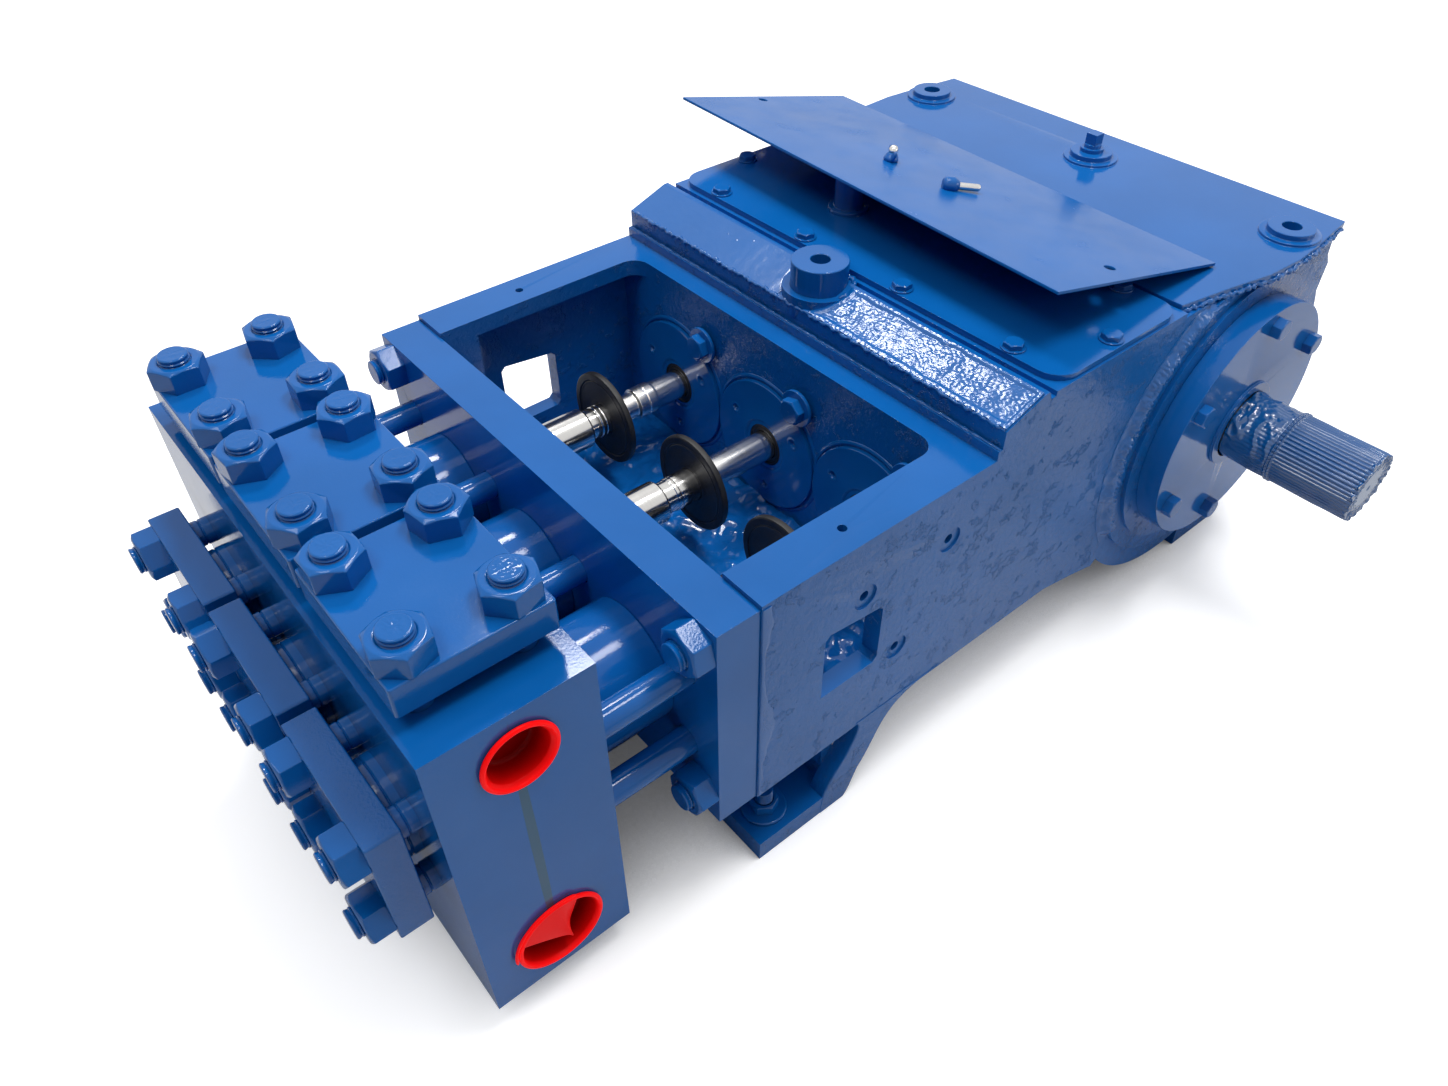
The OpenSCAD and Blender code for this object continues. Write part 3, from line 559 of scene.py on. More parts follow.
def slab(a, b, thick, corner, edge, order=(0, 1, 2)):
    # A flat plate: a rectangle (spans a and b) with rounded corners, carried up a profile with rounded edges.
    # order says which of (a, b, thickness) lies along x, y and z.
    arc = np.linspace(0, math.pi / 2, 6)
    outline, normal = [], []
    for k, (cx, cy) in enumerate([(a[1] - corner, b[1] - corner), (a[0] + corner, b[1] - corner),
                                  (a[0] + corner, b[0] + corner), (a[1] - corner, b[0] + corner)]):
        direction = np.stack([np.cos(arc + k * math.pi / 2), np.sin(arc + k * math.pi / 2)], axis=1)
        outline.append(np.array([cx, cy]) + corner * direction)
        normal.append(direction)
    outline, normal = np.concatenate(outline), np.concatenate(normal)
    low = [(edge * (1 - math.sin(w)), edge * (1 - math.cos(w))) for w in arc]      # (inset, height) up the lower edge
    profile = [(i, thick[0] + h) for i, h in low] + [(i, thick[1] - h) for i, h in reversed(low)]
    cols = len(outline)
    rows = [np.concatenate([outline - normal * inset, np.full((cols, 1), height)], axis=1) for inset, height in profile]
    caps = [list(range(cols))[::-1], [(len(rows) - 1) * cols + i for i in range(cols)]]
    return (np.concatenate(rows)[:, order], gridFaces(len(rows), cols)), caps


def waves(points, size, seed, count=24):
    # Smooth noise from -1 to 1: a sum of plane waves of about one wavelength in seeded directions.
    rng = np.random.default_rng(seed)
    lead = rng.normal(size=(count, points.shape[-1]))
    lead /= np.linalg.norm(lead, axis=1, keepdims=True)
    lead *= 2 * math.pi / (size * rng.uniform(0.7, 1.5, size=(count, 1)))
    phase = rng.uniform(0, 2 * math.pi, size=count)
    return np.cos(points @ lead.T + phase).sum(axis=-1) / math.sqrt(count)


def arcPath(centre, radius, start, end, axis="z", count=60):
    # Points on a circle square to one axis, between two angles in degrees.
    a = np.radians(np.linspace(start, end, count))
    c, s = radius * np.cos(a), radius * np.sin(a)
    flat = {"z": (c, s, 0 * a), "y": (c, 0 * a, s)}[axis]
    return np.asarray(centre, float) + np.stack(flat, axis=1)


def bead(path, radius, lumpSize, seed, lump=0.35, steps=12, step=1.2):
    # A weld bead: a circle carried along the path, its radius swelling and shrinking with smooth noise,
    # and closing to nothing at both ends unless the path is a ring.
    path = np.asarray(path, float)
    ring = np.linalg.norm(path[0] - path[-1]) < 1e-6
    length = np.concatenate([[0], np.cumsum(np.linalg.norm(np.diff(path, axis=0), axis=1))])
    at = np.linspace(0, length[-1], max(int(length[-1] / step), 8))
    line = np.stack([np.interp(at, length, path[:, i]) for i in range(3)], axis=1)
    ahead = np.gradient(line, axis=0)
    if ring:
        ahead[0] = ahead[-1] = ahead[0] + ahead[-1]
    ahead /= np.linalg.norm(ahead, axis=1, keepdims=True)
    lead = np.array((0.0, 0.0, 1.0)) if abs(ahead[:, 2]).max() < 0.9 else unit((0.3, 1.0, 0.2))
    u = np.cross(ahead, lead)
    u /= np.linalg.norm(u, axis=1, keepdims=True)
    v = np.cross(u, ahead)
    angle = np.arange(steps) * 2 * math.pi / steps
    circle = np.cos(angle)[None, :, None] * u[:, None] + np.sin(angle)[None, :, None] * v[:, None]
    swell = 1 + lump * np.clip(waves(line[:, None] + radius * circle, lumpSize, seed), -1.5, 1.5)
    if not ring:
        swell = swell * np.sqrt(np.clip(np.minimum(at, length[-1] - at) / (2 * radius), 0, 1))[:, None]
    points = line[:, None] + radius * swell[..., None] * circle
    if ring:
        points[-1] = points[0]
    return points.reshape(-1, 3), gridFaces(len(line), steps)


# Covers with their large nuts and studs; turns of the nuts in radians
block = {"x": (-660.6, -525.1), "y": (-249.5, 249.5), "z": (35.6, 380.6), "centre": -592.85}
cover = {"length": 123.0, "width": 140.3, "thick": 28.0, "gap": 15.4, "studX": 40.0, "studY": 48.0,
         "corner": 2.5, "edge": 1.5, "plugRadius": 44.0, "plugInside": 15}
nutTurns = (0.25, 0.02, 0.50, 0.30, 0.12, 0.62, 0.40, 0.08, 0.33, 0.55, 0.20, 0.70)


def nutAndStud(base, axis, turn):
    # A large nut and the threaded end of its stud.
    flats, height = nut["flats"], nut["height"]
    return [hexNut(base, axis, flats, height, turn, nut["studRadius"] - 0.2),
            studEnd(base, axis, nut["studRadius"], height - 3.0, height + nut["proud"])]


def makeTopCovers():
    # Per cylinder: a plug with a groove, a plate on it, and four studs with nuts.
    topZ, lowZ = block["z"][1] + cover["gap"] + cover["thick"], block["z"][1] - 2
    places = [(block["centre"] + dx, y + dy, topZ) for y in cylinderY for dx in (-cover["studX"], cover["studX"])
              for dy in (-cover["studY"], cover["studY"])]
    parts = []
    for place, turn in zip(places, nutTurns):
        parts += nutAndStud(place, (0, 0, 1), turn)
        parts.append(bar((*place[:2], lowZ), (0, 0, 1), 0, topZ + 1 - lowZ, nut["studRadius"]))
    addPiece("topNutsAndStuds", gather(parts), smoothPaint, "pump", ("top_studs",))
    for index, y in enumerate(cylinderY):
        x0, y0 = block["centre"] - cover["length"] / 2, y - cover["width"] / 2
        part, caps = slab((x0, x0 + cover["length"]), (y0, y0 + cover["width"]), (topZ - cover["thick"], topZ),
                          cover["corner"], cover["edge"])
        addPiece("topCover%d" % (index + 1), part, smoothPaint, "pump", ("top_cover_%d" % (index + 1),), caps=caps)
    r = cover["plugRadius"]
    inside, gap = -cover["plugInside"], cover["gap"]
    profile = rounded([[inside, 0], [inside, r], [6.2, r], [7.2, r - 1.4], [8.2, r], [gap, r], [gap, 0]], 0.8)
    plugs = [turned(profile, (block["centre"], y, block["z"][1]), (0, 0, 1), 96) for y in cylinderY]
    addPiece("valvePlugs", gather(plugs), smoothPaint, "pump", ("valve_plugs",))


def makeFrontCovers():
    # The same on the block's front face; the studs have a groove between plate and block.
    faceX, thick, r = block["x"][0] - cover["gap"] - cover["thick"], cover["thick"], nut["studRadius"]
    places = [(faceX, y + dy, axisZ + dz) for y in cylinderY for dz in (cover["studX"], -cover["studX"])
              for dy in (cover["studY"], -cover["studY"])]
    shank = rounded([[-1, 0], [-1, r], [thick + 6.5, r], [thick + 7.4, r - 1.3], [thick + 8.3, r],
                     [thick + cover["gap"] + 3, r], [thick + cover["gap"] + 3, 0]], 0.6)
    parts = []
    for k, place in enumerate(places):
        parts += nutAndStud(place, (-1, 0, 0), nutTurns[(k * 5 + 3) % 12] + 0.2)
        parts.append(turned(shank, place, (1, 0, 0), 40))
    addPiece("frontNutsAndStuds", gather(parts), smoothPaint, "pump", ("front_studs",))
    for index, y in enumerate(cylinderY):
        y0, z0 = y - cover["width"] / 2, axisZ - cover["length"] / 2
        part, caps = slab((y0, y0 + cover["width"]), (z0, z0 + cover["length"]), (faceX, faceX + thick),
                          cover["corner"], cover["edge"], (2, 0, 1))
        addPiece("frontCover%d" % (index + 1), part, stipplePaint if y < 0 else smoothPaint, "pump",
                 ("front_cover_%d" % (index + 1),), caps=caps)
    r = cover["plugRadius"]
    inside, gap = -cover["plugInside"], cover["gap"]
    profile = rounded([[inside, 0], [inside, r], [7.0, r], [7.8, r - 1.6], [8.6, r], [gap, r - 0.8], [gap, 0]], 0.8)
    plugs = [turned(profile, (block["x"][0], y, axisZ), (-1, 0, 0), 96) for y in cylinderY]
    addPiece("frontPlugs", gather(plugs), smoothPaint, "pump", ("front_plugs",))


makeTopCovers()
makeFrontCovers()
print("covers, nuts and studs made")


# Castings carried over with soft edges
legCuts = [((-300.0, -270.0, 25.3), (-262.0, -249.9, 110.8)), ((-300.0, 249.9, 25.3), (-262.0, 270.0, 110.8))]
castings = [                        # CAD node, piece, paint, edge radius, boxes cut out of it
    ("power_frame", "frameCasting", castPaint, 1.6, legCuts),
    ("crankcase_deck", "deckPlate", smoothPaint, 1.2),
    ("crosshead_cover", "crossheadCover", smoothPaint, 1.4),
    ("adapter_plate", "adapterPlate", smoothPaint, 1.4),
    ("fluid_block", "fluidBlock", blockPaint, 1.6),
    ("cradle_cover", "cradleCoverSheet", sheetPaint, 0.7),
    ("bearing_cover_near", "bearingCoverNear", smoothPaint, 1.5),
    ("bearing_cover_far", "bearingCoverFar", smoothPaint, 1.5),
    ("lifting_boss", "liftingBoss", smoothPaint, 1.2),
    ("filler_neck", "fillerNeck", smoothPaint, 0.8),
    ("deck_plug", "deckPlug", smoothPaint, 0.9),
]
for casting in castings:
    softCopy(*casting)
print("castings made")


# Smaller fasteners
def boltHead(base, axis, flats, height, turn, washer=0.0):
    # A hexagon head with a closed, faintly domed top, and a round flange under it if washer is given.
    parts = [hexNut(base, axis, flats, height, turn, 0.6)]
    if washer:
        parts.append(turned(rounded([[0, 0], [0, washer], [1.6, washer], [2.0, flats], [2.0, 0]], 0.6), base, axis, 48))
    parts.append(turned([[height - 1, 0], [height - 1, 1.6], [height + 0.02, 1.4], [height + 0.05, 0]], base, axis, 16))
    return parts


coverBolts = {"flats": 8.7, "height": 7.0, "flange": 11.6, "z": 407.0, "y": (-205, -68.5, 68.5, 205),
              "x": (-38.5, 123.5), "ends": [(40, -253), (40, 253)]}
bearingBolts = {"flats": 10.4, "height": 10.5, "ring": 120.0, "faceY": 303.0, "count": 6, "firstAngle": 30}
wiperBolts = {"flats": 12.4, "height": 9.6, "aside": -50.0, "z": 308.0, "washer": 20.0, "thick": 4.0, "proud": 5.0}
adapterNuts = {"y": (-244.0, 244.0), "z": (331.0, 147.0), "inside": 60.0}
footBolts = {"x": -355.0, "y": (-238.0, 238.0), "z": 25.0, "flats": 13.0, "height": 12.0, "radius": 9.0, "washer": 23.0}


def makeCoverBolts():
    # Flanged heads along the cover's edge and at its two ends, each turned a little further than the last.
    parts = []
    places = [(x, y) for y in coverBolts["y"] for x in coverBolts["x"]] + coverBolts["ends"]
    for k, (x, y) in enumerate(places):
        parts += boltHead((x, y, coverBolts["z"]), (0, 0, 1), coverBolts["flats"], coverBolts["height"],
                          0.4 + 0.37 * k, coverBolts["flange"])
    addPiece("coverBolts", gather(parts), smoothPaint, "pump", ("crosshead_cover_bolts",))


def makeBearingBolts():
    # Heads at even angles on a ring, on both bearing covers.
    parts, ring, count = [], bearingBolts["ring"], bearingBolts["count"]
    for side in (-1, 1):
        for k in range(count):
            a = math.radians(bearingBolts["firstAngle"] + 360 / count * k)
            place = (crankX + ring * math.cos(a), side * bearingBolts["faceY"], axisZ + ring * math.sin(a))
            parts += boltHead(place, (0, side, 0), bearingBolts["flats"], bearingBolts["height"], 0.3 + 0.8 * k)
    addPiece("bearingBolts", gather(parts), smoothPaint, "pump", ("bearing_bolts",))


def makeWiperBolts():
    # A round washer and a head beside each rod, on the cradle's rear wall.
    parts, washer, thick = [], wiperBolts["washer"], wiperBolts["thick"]
    for k, y in enumerate(cylinderY):
        x, side, z = wallX - wiperBolts["proud"], y + wiperBolts["aside"], wiperBolts["z"]
        ring = rounded([[0, 0], [0, washer], [thick, washer], [thick, 0]], 1.0)
        parts.append(turned(ring, (x, side, z), (-1, 0, 0), 64))
        parts += boltHead((x - thick, side, z), (-1, 0, 0), wiperBolts["flats"], wiperBolts["height"], 0.3 + 0.5 * k)
    addPiece("wiperBolts", gather(parts), smoothPaint, "pump", ("wiper_bolts",))


def makeAdapterNuts():
    # Large nuts on the adapter plate; a bar runs back from each through the plate.
    parts = []
    for k, (y, z) in enumerate((y, z) for y in adapterNuts["y"] for z in adapterNuts["z"]):
        parts += nutAndStud((plateX, y, z), (-1, 0, 0), 0.15 + 0.4 * k)
        parts.append(bar((plateX, y, z), (-1, 0, 0), -adapterNuts["inside"], 1, nut["studRadius"]))
    addPiece("adapterNutsAndStuds", gather(parts), smoothPaint, "pump", ("adapter_studs",))


def makeFootBolts():
    # On each front foot a washer, made of a ring profile turned about Z, with a nut and a threaded end on it.
    parts, x, z, washer, radius = [], footBolts["x"], footBolts["z"], footBolts["washer"], footBolts["radius"]
    ring = [[0.2, radius + 0.5], [0.2, washer], [3.4, washer], [4.2, washer - 1.5], [4.2, radius + 0.5]]
    for k, y in enumerate(footBolts["y"]):
        parts.append(turned(rounded(ring, 1.0), (x, y, z), (0, 0, 1), 64))
        parts.append(hexNut((x, y, z + 4.0), (0, 0, 1), footBolts["flats"], footBolts["height"], 0.4 + k, radius))
        parts.append(studEnd((x, y, z), (0, 0, 1), radius, 15.0, 30.0))
    addPiece("footBolts", gather(parts), smoothPaint, "pump", ("foot_bolts",))


makeCoverBolts()
makeBearingBolts()
makeWiperBolts()
makeAdapterNuts()
makeFootBolts()
print("bolts made")


# Plungers, rods and discs
rods = {
    "ends": (-280.0, -292.0, -279.0),                       # where each plunger's steel shank starts, far to near
    "bodies": ("rod_far", "rod_middle", "rod_near"),
    "flat": 15.4, "flatSpan": (20.5, 45), "flatTurn": (0.9, 0.75, 0.8),
    # profiles of (distance along X, radius)
    "body": [[-226, 0], [-226, 22.2], [-2.0, 22.2], [0, 20.6], [0.4, 17], [12.6, 17], [13.4, 18], [17.0, 18],
             [18.0, 17.2], [19.0, 18], [46.2, 18], [47, 17.2], [47, 0]],
    "coupling": [[46.6, 0], [46.6, 14], [64.4, 14], [65.2, 18], [76.0, 18], [77.0, 17.2], [78.0, 18], [88.0, 18],
                 [89.0, 16.2]],
    "plain": [[46.6, 0], [46.6, 16]],
    "link": [[91, 16], [235, 16], [235, 0]],
}
disc = {
    "at": (24.0, 40.5, 15.0),                               # from the rod's end, far to near
    "face": [[0, 18.3], [0, 22.5], [0.9, 25], [0.9, 40], [0.3, 43], [1.1, 44.2], [0.0, 45.6], [0.0, 51.4], [0.8, 52.7],
             [2.2, 53], [5.3, 53], [6.7, 52.7], [7.5, 51.4], [7.5, 45.6], [6.4, 44.2], [7.2, 43], [6.6, 40], [6.6, 25],
             [7.5, 22.5], [7.5, 18.3], [0, 18.3]],
}


def withFlats(part, origin, axis, start, end, half, turn):
    # Two spanner flats: points between start and end along the axis keep within half of the middle plane.
    points, quads = part
    u, v = across(axis)
    lead = math.cos(turn) * u + math.sin(turn) * v
    away = points - np.asarray(origin, float)
    along, side = away @ unit(axis), away @ lead
    inside = (along > start) & (along < end)
    move = np.where(inside, np.clip(side, -half, half) - side, 0.0)
    return points + move[:, None] * lead, quads


def makeRods():
    # Plunger end, link and disc are profiles turned about X; two spanner flats are pressed into the plunger end.
    along = (1, 0, 0)
    for k, (y, end, ride, turn) in enumerate(zip(cylinderY, rods["ends"], rods["bodies"], rods["flatTurn"])):
        place, number = (end, y, axisZ), k + 1
        part = turned(rounded(rods["body"], 0.7), place, along, 96)
        addPiece("plungerRod%d" % number, withFlats(part, place, along, *rods["flatSpan"], rods["flat"], turn),
                 brightSteel, ride, ("plunger_%d" % number,), 30)
        coupling = rods["coupling" if k == 0 else "plain"]
        addPiece("crossheadRod%d" % number, turned(rounded(coupling + rods["link"], 0.6), place, along, 96),
                 groundSteel, ride, ("pony_rod_%d" % number,), 30)
        addPiece("deflectorDisc%d" % number, turned(disc["face"], (end + disc["at"][k], y, axisZ), along, 128),
                 blackRubber, ride, ("deflector_disc_%d" % number,), 30)


box = {"bore": 22.7, "radius": 58.5, "noseRadius": 50, "nose": 42.7}
tie = {"y": (-225, -75, 75, 225), "z": (190.0, 281.0), "radius": 13.3, "inside": 30, "beyond": 24}
wiper = {"holeRing": 52, "holeAngles": (28, 148, 268), "holeRadius": 4.0, "holeDepth": 3.6, "holeLip": 0.5,
         "steps": 360, "bore": [[0.0, 24], [3.2, 24], [3.2, 28], [4.6, 29.6], [5.0, 31]],
         "rim": [[4.9, 73.6], [4.3, 74.4], [0.0, 74.4], [0.0, 24]],
         "seat": [[-0.5, 75.9], [1.5, 76.3], [1.7, 78.2], [0.7, 80.0], [-0.5, 80.6], [-0.5, 75.9]],
         "seal": [[-6, 16.4], [-6, 24], [2.4, 24], [3.2, 22.6], [2.2, 20.6], [3.4, 18.6], [3.0, 16.6], [-6, 16.4]]}


def makeBoxesAndTies():
    # Stuffing box: a sleeve with a narrower nose, its profile turned about X. Tie rod: a bar with rounded ends.
    start, reach = block["x"][1], plateX - block["x"][1]
    nose = reach + box["nose"]
    shell = rounded([[0, box["bore"]], [0, box["radius"]], [reach, box["radius"]], [reach, box["noseRadius"]],
                     [nose, box["noseRadius"]], [nose, box["bore"]], [0, box["bore"]]], 1.2)
    for k, y in enumerate(cylinderY):
        addPiece("stuffingBox%d" % (k + 1), turned(shell, (start, y, axisZ), (1, 0, 0), 128), smoothPaint, "pump",
                 ("stuffing_box_%d" % (k + 1),))
    length = reach + tie["inside"] + tie["beyond"]
    rod = rounded([[0, 0], [0, tie["radius"]], [length, tie["radius"]], [length, 0]], 1.0)
    ties = [turned(rod, (start - tie["inside"], y, z), (1, 0, 0), 48) for y in tie["y"] for z in tie["z"]]
    addPiece("tieRods", gather(ties), smoothPaint, "pump", ("tie_rods",))


def makeWipers():
    # Each wiper plate: a polar grid whose face dips into three blind holes, and a raised seat round it on the wall.
    steps = wiper["steps"]
    turn = np.arange(steps) * 2 * math.pi / steps
    profile = np.array(wiper["bore"] + [[5.0, r] for r in np.arange(32, 72.6, 0.9)] + wiper["rim"])
    radius = np.repeat(profile[:, 1:], steps, 1)
    side, up = radius * np.cos(turn), radius * np.sin(turn)
    out = np.repeat(profile[:, :1], steps, 1)
    for a in np.radians(wiper["holeAngles"]):
        gap = np.hypot(side - wiper["holeRing"] * math.cos(a), up - wiper["holeRing"] * math.sin(a))
        dip = wiper["holeDepth"] * np.clip((wiper["holeRadius"] - gap) / 0.9, 0, 1)
        out = np.where(out > 4.9, out - dip, out)
        out = out + np.where(out > 4.9, wiper["holeLip"] * np.exp(-(gap - wiper["holeRadius"] - 2.0) ** 2), 0)
    plates, quads = [], gridFaces(len(profile), steps)
    for y in cylinderY:
        plates.append((np.stack([wallX - out, y + side, axisZ + up], axis=-1).reshape(-1, 3), quads))
        plates.append(turned(rounded(wiper["seat"], 0.4), (wallX, y, axisZ), (-1, 0, 0), 128))
    addPiece("wiperPlates", gather(plates), smoothPaint, "pump", ("wiper_plates",), sharp=30)
    seals = [turned(wiper["seal"], (wallX, y, axisZ), (-1, 0, 0), 96) for y in cylinderY]
    addPiece("wiperSeals", gather(seals), blackRubber, "pump", ())


makeRods()
makeBoxesAndTies()
makeWipers()
softCopy("gland_nuts", "glandNuts", smoothPaint, 1.0)
print("rods and round parts made")


# Shaft end and its wrapping
wrap = {
    "radius": 37.6, "ribs": 52, "ribHeight": 1.3,
    "spans": ((-307.2, -356.0, -0.8), (-356.0, -366.0, -0.4), (-366.0, -445.0, -1.6), (-445.0, -450.05, -0.5)),
    "filmEnd": -358.0, "filmHeight": 1.5, "noiseRadius": 38,
    "ribsShowFrom": -314, "ribsShowOver": 26.0, "lipTo": -325, "lipOver": 14.0,
    "tape": (-359.2, -362.6), "tapeHeight": 1.5, "tapeHalf": 0.85,
    "tornFrom": -444.0, "end": -450.0, "mouth": 21.5, "floorY": -446.0,
    "turnedIn": (0.06, 0.14, 0.24, 0.36, 0.5, 0.64, 0.78, 0.9, 1.0),
}
endDisc = {"y": -446.3, "profile": [[0, 0], [0, 24.0], [1.7, 23.4], [2.0, 22.4], [2.0, 3.4], [1.2, 2.4], [0.6, 0]]}
seal = {"y": -303.0, "profile": [[0, 39.7], [0, 50.2], [1.5, 50.2], [1.9, 49.2], [0.9, 47.8], [0.9, 46.6], [3.4, 46.0],
                                 [3.4, 43.6], [1.8, 42.6], [1.8, 41.4], [2.8, 40.8], [2.6, 39.7], [0, 39.7]]}


def roundShaft(radius, y, angle):
    # Points round the shaft's axis.
    return np.stack([crankX + radius * np.cos(angle), y + 0 * angle, axisZ + radius * np.sin(angle)], axis=-1)


def makeShaftWrap():
    # Radius over angle and length: even ribs beyond two tape rings, crumpled film before them with the ribs
    # showing through, a ragged lip at the end, and a crinkled ring turned in over the shaft's face.
    y = np.concatenate([np.arange(*span) for span in wrap["spans"]])
    steps = wrap["ribs"] * 6
    angle = np.arange(steps) * 2 * math.pi / steps
    aa, yy = np.meshgrid(angle, y)
    rib = np.abs(np.cos(aa * wrap["ribs"] / 2)) ** 0.8
    spots = np.stack([np.cos(aa) * wrap["noiseRadius"], np.sin(aa) * wrap["noiseRadius"], yy], axis=-1)
    film = np.clip((yy - wrap["filmEnd"]) / 3.0, 0, 1)             # 1 in the film, 0 in the ribs
    upper = 0.16 + 0.84 * np.clip(np.sin(aa - 0.15) * 1.3 + 0.25, 0, 1)
    crease = 1.1 - np.abs(waves(spots, 24.0, 5)) * 1.4 + 0.35 * (1 - np.abs(waves(spots, 10.0, 15)) * 1.3)
    fine = waves(spots, 6.0, 6)
    through = np.clip((wrap["ribsShowFrom"] - yy) / wrap["ribsShowOver"], 0, 1) * np.clip(1.4 - upper, 0.45, 1)
    lipNear = np.clip((yy - wrap["lipTo"]) / wrap["lipOver"], 0, 1)
    radius = wrap["radius"] + wrap["ribHeight"] * rib * np.where(film > 0, through * 0.8, 1.0)
    radius += film * upper * (wrap["filmHeight"] * np.clip(crease, -0.3, 1.2) * (0.6 + 0.7 * lipNear) + 0.10 * fine)
    for at in wrap["tape"]:
        radius += wrap["tapeHeight"] * np.exp(-((yy - at) / wrap["tapeHalf"]) ** 2)
    radius += 0.15 * waves(spots, 30.0, 7)
    atEnd = np.clip((wrap["tornFrom"] - yy) / 6.0, 0, 1)
    torn = waves(np.stack([np.cos(angle), np.sin(angle)], axis=-1) * 40, 11.0, 8)[None]
    radius += atEnd * (-0.5 + 0.9 * torn) + 0.5 * atEnd * waves(spots, 4.0, 9)
    ragged = yy + atEnd * np.clip(0.5 + 0.6 * torn, 0, 1.6) * 1.8

    rows = [roundShaft(radius, ragged, aa)]
    for share in wrap["turnedIn"]:                                 # from the lip to the mouth
        r = radius[-1] * (1 - share) + wrap["mouth"] * share
        flat = np.stack([r * np.cos(angle), r * np.sin(angle)], axis=-1)
        crinkle = 1.1 * np.abs(waves(flat, 9.0, 10)) - 0.2
        r = r + (0.8 * waves(flat, 12.0, 12) if share > 0.85 else 0)
        out = ragged[-1] * (1 - share) + (wrap["end"] + 2.4) * share - crinkle * min(share * 4, 1) * 0.9
        rows.append(roundShaft(r, out + 1.2 * math.sin(math.pi * share), angle)[None])
    rows += [roundShaft(r, wrap["floorY"], angle)[None] for r in (wrap["mouth"] - 0.5, 0.0)]
    points = np.concatenate(rows)
    points[..., 1] = np.maximum(points[..., 1], wrap["end"])
    addPiece("shaftWrap", (points.reshape(-1, 3), gridFaces(len(points), steps)), wrapPaint, "shaft",
             ("shaft_sleeve",), sharp=60)
    face = turned(rounded(endDisc["profile"], 0.4), (crankX, endDisc["y"], axisZ), (0, -1, 0), 64)
    addPiece("shaftEndDisc", face, endSteel, "shaft", ())


def makeSealRim():
    # A ring with raised lips: its profile turned about the shaft's axis.
    rim = turned(rounded(seal["profile"], 0.35), (crankX, seal["y"], axisZ), (0, -1, 0), 128)
    addPiece("sealRim", rim, smoothPaint, "pump", ())


makeShaftWrap()
makeSealRim()
print("shaft end made")


# Red port caps
redCap = {
    "x": block["centre"], "faceY": block["y"][1],
    "upperZ": 335.5, "upperR": 26.0, "upperLip": 5.5, "upperDepth": 19.0,
    "lowerZ": 92.0, "lowerR": 37.0, "lowerLip": 4.2, "lowerDepth": 21.0, "lowerShift": (0.5, -0.5),
    "foldGap": 5.0, "foldArc": (186, 62), "foldRadius": 1.3,
}


def capShell(side, z, r, lip, depth, shift=(0, 0)):
    # A dished cap: a rolled rim standing off the face, a wall that narrows inwards, and a flat floor.
    top, foot = r + lip, -depth
    profile = [[foot - 1.2, 0], [foot - 1.2, r - 5.0], [foot + 2, r - 1.2], [-1.0, r - 0.4], [0.2, r + 1.0],
               [0.5, top - 1.4], [1.3, top - 0.2], [2.4, top], [3.6, top - 0.5], [4.4, top - 1.6], [4.5, top - 2.6],
               [4.0, top - 3.7], [2.8, top - 4.2], [0.0, r - 1.0], [foot * 0.5, r - 2.4], [foot + 2.5, r - 3.2],
               [foot + 0.8, r - 4.4], [foot, r - 6.5], [foot, 0]]
    place = (redCap["x"] + shift[0], side * redCap["faceY"], z + shift[1])
    return turned(rounded(profile, 0.5), place, (0, side, 0), 128)


flap = {"from": 158.0, "crease": 88.0, "to": 52.0, "creaseAt": 0.72, "tip": (9.0, -18.0), "stand": 2.2, "sag": 0.4,
        "rise": 1.6, "fold": 9.0, "droop": 3.0, "wall": 1.4, "edge": 0.4, "rows": 26, "cols": 61}


def tornFlap(side, z, r):
    # A three-cornered tongue torn from the cap's skin: straight lines run from the rim's arc to one tip.
    # From the first angle to the crease it lies near the mouth; past the crease it folds down into the cap.
    s, t = np.meshgrid(np.linspace(0, 1, flap["cols"]), np.linspace(0, 0.985, flap["rows"]))
    before, past = s / flap["creaseAt"], (s - flap["creaseAt"]) / (1 - flap["creaseAt"])
    degrees = np.where(past < 0, flap["from"] + (flap["crease"] - flap["from"]) * before,
                       flap["crease"] + (flap["to"] - flap["crease"]) * past)
    angle, rim, past = np.radians(degrees), r - 0.6, np.clip(past, 0, 1)
    x = rim * np.cos(angle) * (1 - t) + flap["tip"][0] * t
    up = rim * np.sin(angle) * (1 - t) + flap["tip"][1] * t
    out = flap["stand"] + (flap["rise"] * t - flap["sag"] * np.sin(np.pi * t)) * (1 - past)
    out -= flap["fold"] * past * (0.35 + 0.65 * t) + flap["droop"] * (1 - np.clip(before, 0, 1)) ** 2 * t
    points = np.stack([redCap["x"] + x, side * (redCap["faceY"] + out), z + up], axis=-1)
    return points.reshape(-1, 3), gridFaces(flap["rows"], flap["cols"], False)


